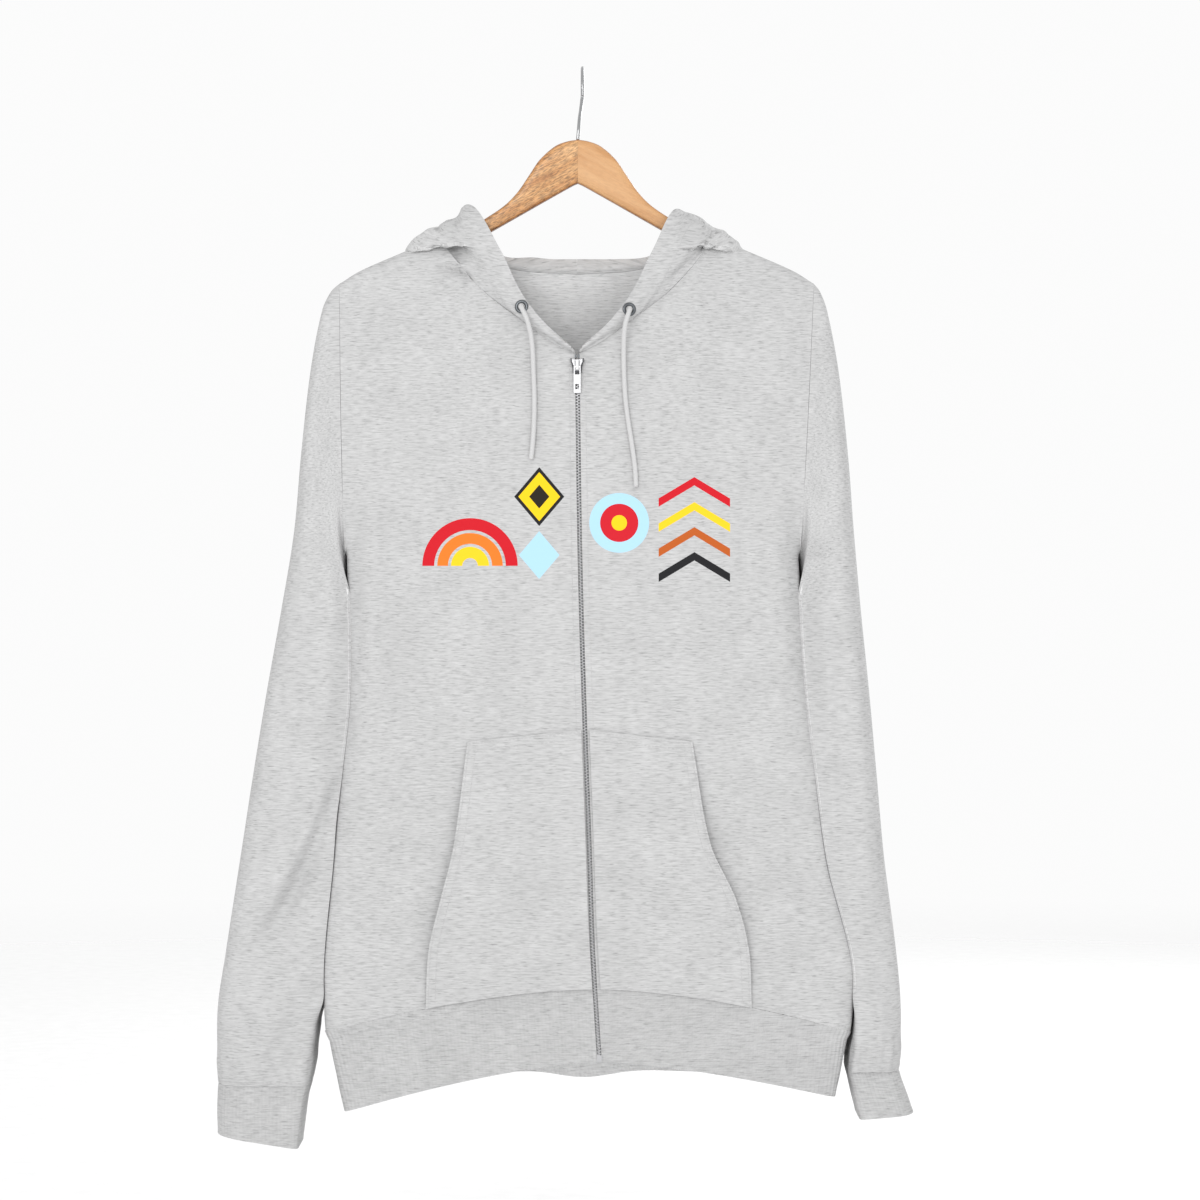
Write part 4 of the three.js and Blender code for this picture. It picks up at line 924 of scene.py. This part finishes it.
def hoodGrid(name):
    sign = sides[name]["sign"]
    controls = [hoodControls(name, k) for k in range(9)]
    places = np.linspace(0, 8, hood["columns"])
    shares = np.linspace(0, 1, hood["rows"])
    grid = np.zeros((len(shares), len(places), 3))
    for c, at in enumerate(places):
        line = [neckSeamPoint(name, at)] + [splineAt([row[n] for row in controls], at / 8) for n in range(5)]
        for r, share in enumerate(shares):
            grid[r, c] = splineAt(line, share)
    grid[:, -1, 0] = cloth["middleX"] + sign * cloth["seamGap"] / 2
    normals = gridNormals(grid, False, sign)
    inFront = smoothStep(30, 5, grid[..., 1]) * smoothStep(0, 6, lengths(grid, 0))
    shift = foldField(hoodCreases[name], grid[..., 0], grid[..., 2]) * inFront
    lumps = sum(height * np.exp(-((grid[..., 0] - x) / width) ** 2) for x, width, height in hoodLumps[name])
    shift = shift + lumps * smoothStep(0.15, 0.7, normals[..., 2])
    away = lengths(grid[::-1], 0)[::-1]
    shift = shift + hood["tunnelRise"] * smoothStep(1, 5, away) * smoothStep(hood["tunnel"], hood["tunnel"] - 4, away)
    wave = slackWaves(grid[..., 0] * 1.6, grid[..., 2] * 1.2, 21 if sign < 0 else 22, 0.7)
    wave = wave * (1 - inFront)   # only behind the neck, and still at both seams
    shift = shift + wave * smoothStep(0, 20, lengths(grid, 0)) * smoothStep(0, 1.2, 8 - places)[None, :]
    return grid + normals * shift[..., None]


for name, side in sides.items():
    grids["hood", name] = turnIn(hoodGrid(name), side["sign"], top=(0.6, 2.5))
    bag = grids["hood", name]
    hoodMap = bag[..., 0] + 0.8 * side["sign"] * bag[..., 1], 0.4 * bag[..., 1] - bag[..., 2]
    piece = clothShell(f"hood_{name}_cloth", bag, bodyKnit, hoodLining, facing=side["sign"],
                       uvShift=(5300 if name == "left" else 5900, 0), flatMap=hoodMap)
    standsFor(f"hood_{name}")
print("hood made")


# Pouch pocket halves, sewn on the fronts, with the hand opening standing a little away
pocket = {
    "rows": 70, "columns": 40, "zipTop": -561, "mouthTop": -571, "mouthLow": -800, "hemZ": -790,
    "lift": 9, "seat": 0.5, "zipClear": 1.5,
    "cut": (0.14, 0.235), "area": 0.028,
}
pocketMouth = {
    "z": [-571, -661, -707, -749, -800], "left": [96, 107, 118, 128, 131], "right": [92, 107, 128, 139, 142],
}


# The front panel's outer face at x and z
def frontSurface(name, x, z):
    fromZip = np.abs(x - zipEdgeX(sides[name]["sign"], z))
    return bodyY(name, "front", x, z) + clothDrift("front", x, z) * smoothStep(0, 12, fromZip)


def pocketGrid(name):
    sign = sides[name]["sign"]
    down, across = np.linspace(0, 1, pocket["rows"])[:, None], np.linspace(0, 1, pocket["columns"])[None, :]
    mouthZ = mix(pocket["mouthTop"], pocket["mouthLow"], down)
    mouthX = sign * readTable(pocketMouth, "z", name, mouthZ)
    x = mix(zipEdgeX(sign, mouthZ) + sign * pocket["zipClear"], mouthX, across)
    zipX = zipEdgeX(sign, pocket["hemZ"])
    bottomT = np.clip((x - zipX) / (sign * bodyEdgeX(name, float(pocket["mouthLow"])) - zipX), 0, 1)
    z = mix(mix(pocket["zipTop"], pocket["mouthTop"], across), hemSeamZ("front", bottomT), down)
    lift = pocket["lift"] * across ** 2 * np.sin(np.pi * down)
    y = frontSurface(name, x, z) - (cloth["thickness"] + pocket["seat"] + lift)
    return np.stack([x, y, z], axis=-1)


for name, side in sides.items():
    grids["pocket", name] = turnIn(pocketGrid(name), -side["sign"], top=(0.5, 1.5), last=(0.5, 1.5))
    piece = clothShell(f"pocket_{name}_cloth", grids["pocket", name], bodyKnit, insideKnitWithPaintedLight, facing=-side["sign"],
                       uvShift=(6700 if name == "left" else 7100, 561))
    standsFor(f"pocket_{name}")
print("pockets made")


# Zip: woven tapes, single teeth and the retaining box
zipper = {
    "toothPitch": 1.25, "tooth": (2.1, 1.9, 1.2), "offset": 0.68, "chainTop": -263.6, "chainEnd": -833.8,
    "tapeWidth": 12, "tapeThickness": 0.8, "tapeStart": 1, "tapeGap": 0.1, "tapeCut": (0.013, 0.6),
}
zipEdges = {   # the two fronts' edges, down to the hem
    "left": np.concatenate([grids["front", "left"][:, 0], grids["band"][1:, 0]]),
    "right": np.concatenate([grids["front", "right"][:, 0], grids["band"][1:, -1]]),
}


def zipEdgeY(name, z):
    return np.interp(-z, -zipEdges[name][:, 2], zipEdges[name][:, 1])


def wovenTape(name):
    n = Nodes(name)
    threads = n.noise(n.coordinates("UV", (2600, 1500, 1)), 1, 0.5)
    n.set(Base_Color=n.ramp(threads, [(0.3, grey(0.24)), (0.7, grey(0.34))]), Roughness=0.85)
    n.set(Specular_IOR_Level=0.2, Normal=n.bump(threads, 0.4, 0.0004))
    return n.material


tapeWeave = wovenTape("woven zip tape")
for name, side in sides.items():
    sign = side["sign"]
    z = np.linspace(zipEdges[name][0, 2] - 1, zipEdges[name][-1, 2] + 0.3, 150)[:, None]
    inner = readTable(zipLine, "z", "x", z) + sign * zipper["tapeStart"]
    x = inner + sign * zipper["tapeWidth"] * np.linspace(0, 1, 9)[None, :]
    surfaceY = zipEdgeY(name, z) + (bodyY(name, "front", x, z) - bodyY(name, "front", inner + sign * 2.2, z))
    x, y, z = np.broadcast_arrays(x, surfaceY + cloth["thickness"] + cloth["seamGap"] + zipper["tapeGap"], z)
    piece = clothShell(f"zip_tape_{name}_weave", np.stack([x, y, z], axis=-1), tapeWeave,
                       thickness=zipper["tapeThickness"], facing=-sign)
    standsFor(f"zip_tape_{name}")


def metalFinish(name, colour, roughness, mark=0.0):
    n = Nodes(name)
    wear = n.noise(n.coordinates("Object", (900, 900, 900)), 3, 0.6)
    n.set(Base_Color=n.blend("MIX", wear, colour, tuple(c * (1 - mark) for c in colour)), Metallic=1.0)
    n.set(Roughness=n.math("ADD", roughness, n.math("MULTIPLY", wear, 0.12)), Normal=n.bump(wear, 0.08, 0.0002))
    return n.material


zipSteel = metalFinish("zip metal", (0.64, 0.64, 0.65), 0.24, 0.1)
toothSteel = metalFinish("zip teeth", (0.5, 0.5, 0.51), 0.3, 0.25)
gunmetal = metalFinish("gunmetal", (0.16, 0.17, 0.18), 0.28, 0.3)
hookSteel = metalFinish("hook wire", (0.4, 0.405, 0.41), 0.16, 0.2)

# Slider's painted shades: half widths of rim and slot, heights of slot and pit, and its narrowing towards the chain
sliderLook = {
    "rim": 1.15, "slot": 2.2, "slotTop": -251.6, "pitTop": -260.2, "faceDepth": 3.2,
    "narrowing": (-0.2565, -0.2525, 0.0038, 0.0056),   # from one height to another, half widths there, in metres
    "bright": (0.66, 0.66, 0.67), "worn": (0.56, 0.56, 0.57), "shade": (0.34, 0.34, 0.35), "dark": (0.07, 0.07, 0.075),
}


# Slider body: painted shade on the dark sides where the teeth run in, and a painted shaded slot under the bridge with a
# painted dark pit
def sliderMetalWithPaintedShade(name):
    n = Nodes(name)
    low, high = (np.array(corner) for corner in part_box("zip_slider"))
    middleX, faceY = (low[0] + high[0]) / 2, low[1] + sliderLook["faceDepth"] * mm
    x, y, z = n.parts("Object")
    across = n.math("ABSOLUTE", n.math("SUBTRACT", x, float(middleX)))
    half = n.add("ShaderNodeMapRange")
    for socket, value in zip(half.inputs[1:5], sliderLook["narrowing"]):
        socket.default_value = value
    n.link(z, half.inputs[0])
    rimShadeMask = n.math("GREATER_THAN", across, n.math("SUBTRACT", half.outputs[0], sliderLook["rim"] * mm))
    onFace = n.math("GREATER_THAN", y, float(faceY))
    slotShadeMask = n.math("MULTIPLY", n.math("LESS_THAN", across, sliderLook["slot"] * mm), onFace)
    slotShadeMask = n.math("MULTIPLY", slotShadeMask, n.math("LESS_THAN", z, sliderLook["slotTop"] * mm))
    pitShadeMask = n.math("MULTIPLY", slotShadeMask, n.math("LESS_THAN", z, sliderLook["pitTop"] * mm))
    wear = n.noise(n.coordinates("Object", (900, 900, 900)), 3, 0.6)
    colour = n.blend("MIX", wear, sliderLook["bright"], sliderLook["worn"])
    # painted shade in the slot under the bridge
    colour = n.blend("MIX", slotShadeMask, colour, sliderLook["shade"])
    # painted shade: the pit and the rim of the face are made dark
    dark = n.math("MAXIMUM", pitShadeMask, n.math("MULTIPLY", rimShadeMask, onFace))
    n.set(Base_Color=n.blend("MIX", dark, colour, sliderLook["dark"]), Metallic=1.0)
    n.set(Roughness=n.math("ADD", 0.2, n.math("MULTIPLY", wear, 0.12)), Normal=n.bump(wear, 0.08, 0.0002))
    return n.material


sliderSteel = sliderMetalWithPaintedShade("zip slider metal")


def blockPoints(width, depth, height, pinch):
    w, d, h = width / 2, depth / 2, height / 2
    return np.array([(-w, -d, -h * pinch), (w, -d, -h * pinch), (w, d, -h), (-w, d, -h),
                     (-w, -d, h * pinch), (w, -d, h * pinch), (w, d, h), (-w, d, h)])


blockFaces = np.array([(0, 1, 5, 4), (1, 2, 6, 5), (2, 3, 7, 6), (3, 0, 4, 7), (4, 5, 6, 7), (3, 2, 1, 0)])
toothPoints, toothFaces = [], []
z, sign = zipper["chainTop"], -1
while z > zipper["chainEnd"]:   # teeth of the two sides in turn
    y = (zipEdgeY("left", z) + zipEdgeY("right", z)) / 2 + cloth["thickness"] - 1.0
    place = np.array([readTable(zipLine, "z", "x", z) + sign * zipper["offset"], y, z])
    toothFaces.append(blockFaces + 8 * len(toothPoints))
    toothPoints.append(blockPoints(*zipper["tooth"], 0.7) + place)
    z -= zipper["toothPitch"]
    sign = -sign
teeth = makeMesh("zip_teeth", np.concatenate(toothPoints), np.concatenate(toothFaces), [toothSteel],
                 sharpDegrees=30)
standsFor("zip_chain")
print("zip made:", len(toothPoints), "teeth")

for node, finish in (("zip_box", toothSteel), ("zip_slider", sliderSteel), ("zip_pull", zipSteel),
                     ("zip_stop_left", gunmetal), ("zip_stop_right", gunmetal)):
    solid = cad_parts[node]
    solid.data.materials.clear()
    solid.data.materials.append(finish)
    rounding = solid.modifiers.new("rounding", "BEVEL")
    rounding.width = 0.00022
    rounding.segments = 2
    rounding.limit_method = "ANGLE"


# Round tubes along a route, with a texture map along them
def tubePoints(route, radius, around, rise):
    route = np.asarray(route, float)
    tangents = np.gradient(route, axis=0)
    tangents /= np.linalg.norm(tangents, axis=1, keepdims=True)
    normal = np.cross(tangents[0], [1.0, 0.2, 0.1])
    rings = []
    turn = 2 * np.pi * np.arange(around) / around
    run = np.concatenate([[0], np.cumsum(np.linalg.norm(np.diff(route, axis=0), axis=1))])
    for k, (centre, tangent) in enumerate(zip(route, tangents)):
        normal = normal - np.dot(normal, tangent) * tangent
        normal = normal / np.linalg.norm(normal)
        circle = np.cos(turn)[:, None] * normal + np.sin(turn)[:, None] * np.cross(tangent, normal)
        local = np.full(around, float(radius)) if rise is None else radius + rise(turn, run[k])
        rings.append(centre + local[:, None] * circle)
    return np.array(rings), run


def tubeMesh(name, route, radius, material, around, rise=None):
    rings, run = tubePoints(route, radius, around, rise)
    count = len(rings)
    points = [*rings.reshape(-1, 3)]
    faces = ringFaces(count, around)
    uv = [(radius * 2 * math.pi * c / around, run[r]) for r in range(count) for c in range(around)]
    for ring, step in ((0, -1), (count - 1, 1)):   # blunt rounded ends
        base = len(points)
        axis = np.asarray(route[ring], float) - np.asarray(route[ring - step], float)
        axis = axis / np.linalg.norm(axis)
        centre = np.mean(rings[ring], axis=0)
        points += [*(centre + 0.72 * (rings[ring] - centre) + axis * radius * 0.42)] + [centre + axis * radius * 0.55]
        uv += [(0, run[ring])] * (around + 1)
        for c in range(around):
            d = (c + 1) % around
            first, second = ring * around + c, ring * around + d
            quad = [first, base + c, base + d, second] if step < 0 else [first, second, base + d, base + c]
            tip = [base + c, base + around, base + d] if step < 0 else [base + c, base + d, base + around]
            faces += [quad, tip]
    return makeMesh(name, np.array(points), faces, [material], uv=uv, sharpDegrees=70)


# Drawcord ends, hanging free from the eyelets
drawcord = {"radius": 2.0, "steps": 420, "braidRise": 0.16, "braidPitch": 5.2, "strands": 8}
cordRoutes = {
    "left": [
        (-51.4, -44.7, -205.1), (-51.6, -47.6, -205.4), (-51.2, -50.4, -206.8), (-50, -52.6, -209.2),
        (-48.3, -53.8, -212.6), (-46.5, -54.2, -216.8), (-44.8, -53.9, -222.5), (-43.2, -52.9, -229.5),
        (-42.1, -51.9, -238), (-41.4, -51.6, -248), (-40.9, -52.4, -261), (-40.3, -54, -275),
        (-40.1, -55.4, -289), (-40.4, -56.7, -304), (-41.3, -57.7, -319), (-42.8, -58.6, -334),
    ],
    "right": [
        (39.6, -45.5, -207.7), (39.9, -48.4, -208), (39.6, -51.1, -209.5), (38.8, -53.1, -212),
        (37.6, -54.2, -215.6), (36.4, -54.5, -220), (35.4, -54, -226), (34.9, -53, -233.5),
        (34.7, -52.2, -243), (34.8, -52.4, -254), (35.2, -53.4, -267), (36, -54.9, -281),
        (37.6, -56.2, -296), (40, -57.4, -312), (42.6, -58.5, -329), (44.4, -59.3, -344), (45, -59.9, -357),
    ],
}


def braidedCord(name):
    n = Nodes(name)
    yarn = n.noise(n.coordinates("UV", (1500, 700, 1)), 2, 0.5)
    n.set(Base_Color=n.ramp(yarn, [(0.3, grey(0.52)), (0.7, grey(0.6))]), Roughness=0.85)
    n.set(Specular_IOR_Level=0.2, Normal=n.bump(yarn, 0.4, 0.0004), Sheen_Weight=0.1, Sheen_Roughness=0.5)
    return n.material


cordBraid = braidedCord("braided drawcord")


def braid(turn, run):
    lay = 2 * np.pi * run / drawcord["braidPitch"]
    across = drawcord["strands"] / 2 * turn
    strands = np.maximum(np.abs(np.sin(across + lay)), np.abs(np.sin(across - lay)))
    return drawcord["braidRise"] * (strands - 1)


for name in sides:
    route = np.array(cordRoutes[name], float)
    fine = np.array([splineAt(route, share) for share in np.linspace(0, 1, drawcord["steps"])])
    piece = tubeMesh(f"drawcord_{name}_braid", fine, drawcord["radius"], cordBraid, around=24, rise=braid)
    standsFor(f"drawcord_{name}")


# Eyelets: a rolled rim on the hood's edge
eyelet = {"outer": 5.85, "inner": 2.9, "rise": 1.3, "around": 48}


# A profile of radius and height, turned round the axis of a flat solid
def turnedRing(name, node, profile, material):
    corners = np.array([v.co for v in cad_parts[node].data.vertices]) / mm
    base = corners.mean(axis=0)
    axis = np.linalg.svd(corners - base)[2][2]
    axis = axis * (-1 if axis[1] > 0 else 1)   # towards the front
    depth = (corners - base) @ axis
    sideways = np.cross(axis, [0, 0, 1.0])
    sideways /= np.linalg.norm(sideways)
    upward = np.cross(sideways, axis)
    turn = 2 * np.pi * np.arange(eyelet["around"]) / eyelet["around"]
    circle = np.cos(turn)[:, None] * sideways + np.sin(turn)[:, None] * upward
    points = np.concatenate([base + (depth.min() + height) * axis + radius * circle for radius, height in profile])
    faces = ringFaces(len(profile), eyelet["around"], wrapped=True)
    return makeMesh(name, points, faces, [material], sharpDegrees=60)


rimMiddle, rimHalf = (eyelet["outer"] + eyelet["inner"]) / 2, (eyelet["outer"] - eyelet["inner"]) / 2
rimProfile = [(rimMiddle + rimHalf * math.cos(a), eyelet["rise"] * (0.12 + 0.88 * math.sin(a)))
              for a in np.linspace(0, np.pi, 9)]
rimProfile = [(eyelet["outer"], 0)] + rimProfile + [(eyelet["inner"], 0)]
for name in sides:
    piece = turnedRing(f"eyelet_{name}_ring", f"eyelet_{name}", rimProfile, gunmetal)
    standsFor(f"eyelet_{name}")
print("cords and eyelets made")


# Hanger: two shaped wooden halves and a wire hook
hanger = {
    "x": -4, "thickness": 12, "corner": 4.2, "stations": 150, "around": 36,
    "armLength": 186, "tipLength": 8, "tipTall": 4.5, "hookRadius": 1.5,
}
woodTop = {
    "from": [0.15, 9, 19.6, 32.6, 41.5, 51, 62, 79, 106, 122, 146, 178, 190, 194],
    "z": [-59.8, -61.2, -65.5, -77, -90, -104, -115.5, -127.2, -144, -150.5, -158.4, -172.2, -178.6, -184],
}
woodLow = {
    "from": [0.15, 5, 73, 106, 146, 178, 190, 194],
    "z": [-97.3, -99.5, -138, -156.5, -173.5, -187, -190, -184.4],
}


def woodGrainAndEdgeShade(name, deep, middle, light, strength, turn):
    n = Nodes(name)
    drift = n.noise(n.coordinates("Object", (16, 60, 150), turn=(0, turn, 0)), 3, 0.55)
    fine = n.noise(n.coordinates("Object", (190, 500, 1000), turn=(0, turn, 0)), 3, 0.6)
    colour = n.ramp(drift, [(0.28, deep), (0.5, middle), (0.72, light)])
    colour = n.blend("MULTIPLY", 1.0, colour, n.ramp(fine, [(0.36, grey(1 - strength)), (0.6, grey(1.0))]))
    level = n.math("ABSOLUTE", n.parts("Normal")[1])   # small along the edges, which get painted shade
    # painted shade: faces that turn away from the front and back are made darker
    colour = n.blend("MULTIPLY", 1.0, colour, n.ramp(level, [(0.3, (0.62, 0.45, 0.36)), (0.85, grey(1.0))]))
    n.set(Base_Color=colour, Roughness=0.42, Specular_IOR_Level=0.45, Coat_Weight=0.25, Coat_Roughness=0.2)
    n.set(Normal=n.bump(fine, 0.12, 0.0003))
    return n.material


grainTurn = math.radians(28)   # the grain runs along each arm
woods = {
    "left": woodGrainAndEdgeShade("brown wood", (0.43, 0.165, 0.048), (0.62, 0.31, 0.115), (0.76, 0.44, 0.2), 0.6, grainTurn),
    "right": woodGrainAndEdgeShade("pale wood", (0.53, 0.265, 0.102), (0.61, 0.335, 0.147), (0.65, 0.375, 0.172), 0.1, -grainTurn),
}


def woodHalf(name):
    sign = sides[name]["sign"]
    arm = hanger["armLength"]
    tip = arm + hanger["tipLength"] * np.sin(np.linspace(0, np.pi / 2, 14))[1:] * 0.998
    stations = np.concatenate([np.linspace(0.03, arm, hanger["stations"]), tip])
    topZ, lowZ = readTable(woodTop, "from", "z", stations), readTable(woodLow, "from", "z", stations)
    around = hanger["around"]
    turn = 2 * np.pi * (np.arange(around) + 0.5) / around
    rings = []
    for x, top, low in zip(stations, topZ, lowZ):
        tall = max(top - low, 0.3) / 2
        thick = hanger["thickness"] / 2 * (min(1, math.sqrt(tall / hanger["tipTall"])) if x > arm else 1)
        y = thick * squared(np.cos(turn), hanger["corner"])
        z = (top + low) / 2 + tall * squared(np.sin(turn), hanger["corner"])
        rings.append(np.stack([np.full(around, hanger["x"] + sign * x), y, z], axis=1))
    rings = np.array(rings)
    count = len(rings)
    points = np.concatenate([rings.reshape(-1, 3), [rings[0].mean(axis=0)], [rings[-1].mean(axis=0)]])
    faces = [[a, d, c, b] for a, b, c, d in ringFaces(count, around)]
    for c in range(around):
        d = (c + 1) % around
        faces.append([c, d, count * around])
        faces.append([(count - 1) * around + d, (count - 1) * around + c, count * around + 1])
    if sign < 0:
        faces = [face[::-1] for face in faces]
    piece = makeMesh(f"hanger_wood_{name}_piece", points, faces, [woods[name]], sharpDegrees=60)
    standsFor(f"hanger_wood_{name}")


for name in sides:
    woodHalf(name)

hookPath = [
    (-4, 0, -59.4), (-3.3, 0.3, -50), (-2.6, 4, -41), (-1.6, 12, -32.5), (-0.8, 17.4, -25),
    (0, 18.5, -17), (0, 16, -7.7), (0, 9.3, -1), (0, 0, 1.5), (0, -9.3, -1), (0, -16, -7.7),
    (0, -18.5, -17), (0, -17.6, -24),
]
hookRoute = [splineAt(hookPath, share) for share in np.linspace(0, 1, 160)]
hook = tubeMesh("hanger_hook_wire", hookRoute, hanger["hookRadius"], hookSteel, around=18)
standsFor("hanger_hook")
print("hanger made")


# Seams: rows of small stitches laid on the cloth
stitching = {"length": 2.5, "gap": 0.9, "width": 0.62, "rise": 0.22, "sunk": 0.12}
bead = [(-0.5, 0.0), (-0.38, 0.8), (0.0, 1.0), (0.38, 0.8), (0.5, 0.0)]   # share along a stitch, and its fatness
stitchPoints, stitchFaces = [], []


def sewingThread():
    n = Nodes("sewing thread")
    twist = n.noise(n.coordinates("Object", (2500, 2500, 2500)), 1, 0.5)
    n.set(Base_Color=n.ramp(twist, [(0.3, grey(0.44)), (0.7, grey(0.5))]), Roughness=0.8, Specular_IOR_Level=0.25)
    n.set(Normal=n.bump(twist, 0.2, 0.0002))
    return n.material


def stitchRow(points, normals, start=0.0):
    run = np.concatenate([[0], np.cumsum(np.linalg.norm(np.diff(points, axis=0), axis=1))])
    read = lambda table, at: np.array([np.interp(at, run, table[:, k]) for k in range(3)])
    half = stitching["length"] / 2
    at = start + half
    while at + half < run[-1]:
        first, second, up = read(points, at - half), read(points, at + half), read(normals, at)
        along = second - first
        up = up - along * np.dot(up, along) / max(np.dot(along, along), 1e-9)
        up /= max(np.linalg.norm(up), 1e-9)
        sideways = np.cross(along / max(np.linalg.norm(along), 1e-9), up)
        base = len(stitchPoints)
        for share, fat in bead:
            centre = mix(first, second, share + 0.5) + up * (stitching["rise"] * fat - stitching["sunk"])
            spread = stitching["width"] / 2 * max(fat, 0.15)
            for angle in (0.0, 0.5 * math.pi, math.pi, 1.5 * math.pi):
                stitchPoints.append(centre + sideways * spread * math.cos(angle) + up * spread * 0.6 * math.sin(angle))
        last = base + 4 * (len(bead) - 1)
        stitchFaces.extend([base + a, base + d, base + c, base + b] for a, b, c, d in ringFaces(len(bead), 4))
        stitchFaces.append([base, base + 1, base + 2, base + 3])
        stitchFaces.append([last + 3, last + 2, last + 1, last])
        at += stitching["length"] + stitching["gap"]


for name, side in sides.items():
    sign = side["sign"]
    front, pocketCloth = grids["front", name], grids["pocket", name]
    stitchRow(*lineFromEdge(front, "first", 5.2, -sign), start=8)
    stitchRow(*lineFromEdge(front, "bottom", 3.0, -sign), start=4)
    stitchRow(*lineFromEdge(grids["sleeve", name], "bottom", 3.0, sign, True))
    for away in (2.2, 8.0):
        stitchRow(*lineFromEdge(pocketCloth, "last", away, -sign), start=1)
    for away in (2.2, 8.0):
        stitchRow(*lineFromEdge(pocketCloth, "top", away, -sign), start=1)
    stitchRow(*lineFromEdge(grids["hood", name], "bottom", hood["tunnel"], sign), start=4)
stitchRow(*lineFromEdge(grids["back"], "bottom", 3.0, 1))
stitches = makeMesh("seam_stitches", np.array(stitchPoints), stitchFaces, [sewingThread()], sharpDegrees=80)
print("stitches:", len(stitchPoints) // (4 * len(bead)))


# Stage: pale floor that fades out, soft sky, and wide lamps
stage = {"floorZ": -1.06, "floorRadius": 4.5, "sky": (1.0, 1.0, 1.0), "skyStrength": 0.97}


def paleFloor():
    n = Nodes("pale floor")
    away = n.add("ShaderNodeVectorMath", operation="LENGTH")
    n.link(n.add("ShaderNodeTexCoord").outputs["Object"], away.inputs[0])
    share = n.math("DIVIDE", away.outputs["Value"], stage["floorRadius"])
    fade = n.ramp(share, [(0.25, grey(1.0)), (0.95, grey(0.0))])
    grain = n.noise(n.coordinates("Object", (40, 40, 40)), 2, 0.5)
    n.set(Base_Color=n.ramp(grain, [(0.3, grey(0.84)), (0.7, grey(0.88))]), Roughness=0.75, Alpha=fade)
    return n.material


floorRim = [(stage["floorRadius"] * math.cos(a), stage["floorRadius"] * math.sin(a), 0)
            for a in np.linspace(0, 2 * math.pi, 97)[:-1]]
floorMesh = bpy.data.meshes.new("floor")
floorMesh.from_pydata(floorRim, [], [list(range(len(floorRim)))])
floorMesh.materials.append(paleFloor())
floor = bpy.data.objects.new("floor", floorMesh)
floor.location = (0, 0, stage["floorZ"])
scene.collection.objects.link(floor)

world = bpy.data.worlds.new("soft sky")
scene.world = world
world.use_nodes = True
background = world.node_tree.nodes["Background"]
background.inputs[0].default_value = (*stage["sky"], 1)
background.inputs[1].default_value = stage["skyStrength"]

lampTarget = Vector((0, 0, -0.5))
lamps = {
    "key": {"place": (-1.0, -3.2, 0.5), "size": 1.3, "power": 34},
    "fill": {"place": (1.1, -3.3, -0.8), "size": 1.3, "power": 16},
    "behind": {"place": (1.5, 2.3, 0.6), "size": 1.4, "power": 30},
}
for name, lamp in lamps.items():
    data = bpy.data.lights.new(name, "AREA")
    data.size = lamp["size"]
    data.energy = lamp["power"]
    light = bpy.data.objects.new(name, data)
    light.location = lamp["place"]
    light.rotation_euler = (lampTarget - Vector(lamp["place"])).to_track_quat("-Z", "Y").to_euler()
    scene.collection.objects.link(light)
scene.view_settings.view_transform = "Standard"
print("stage and lamps set")

bpy.context.view_layer.update()
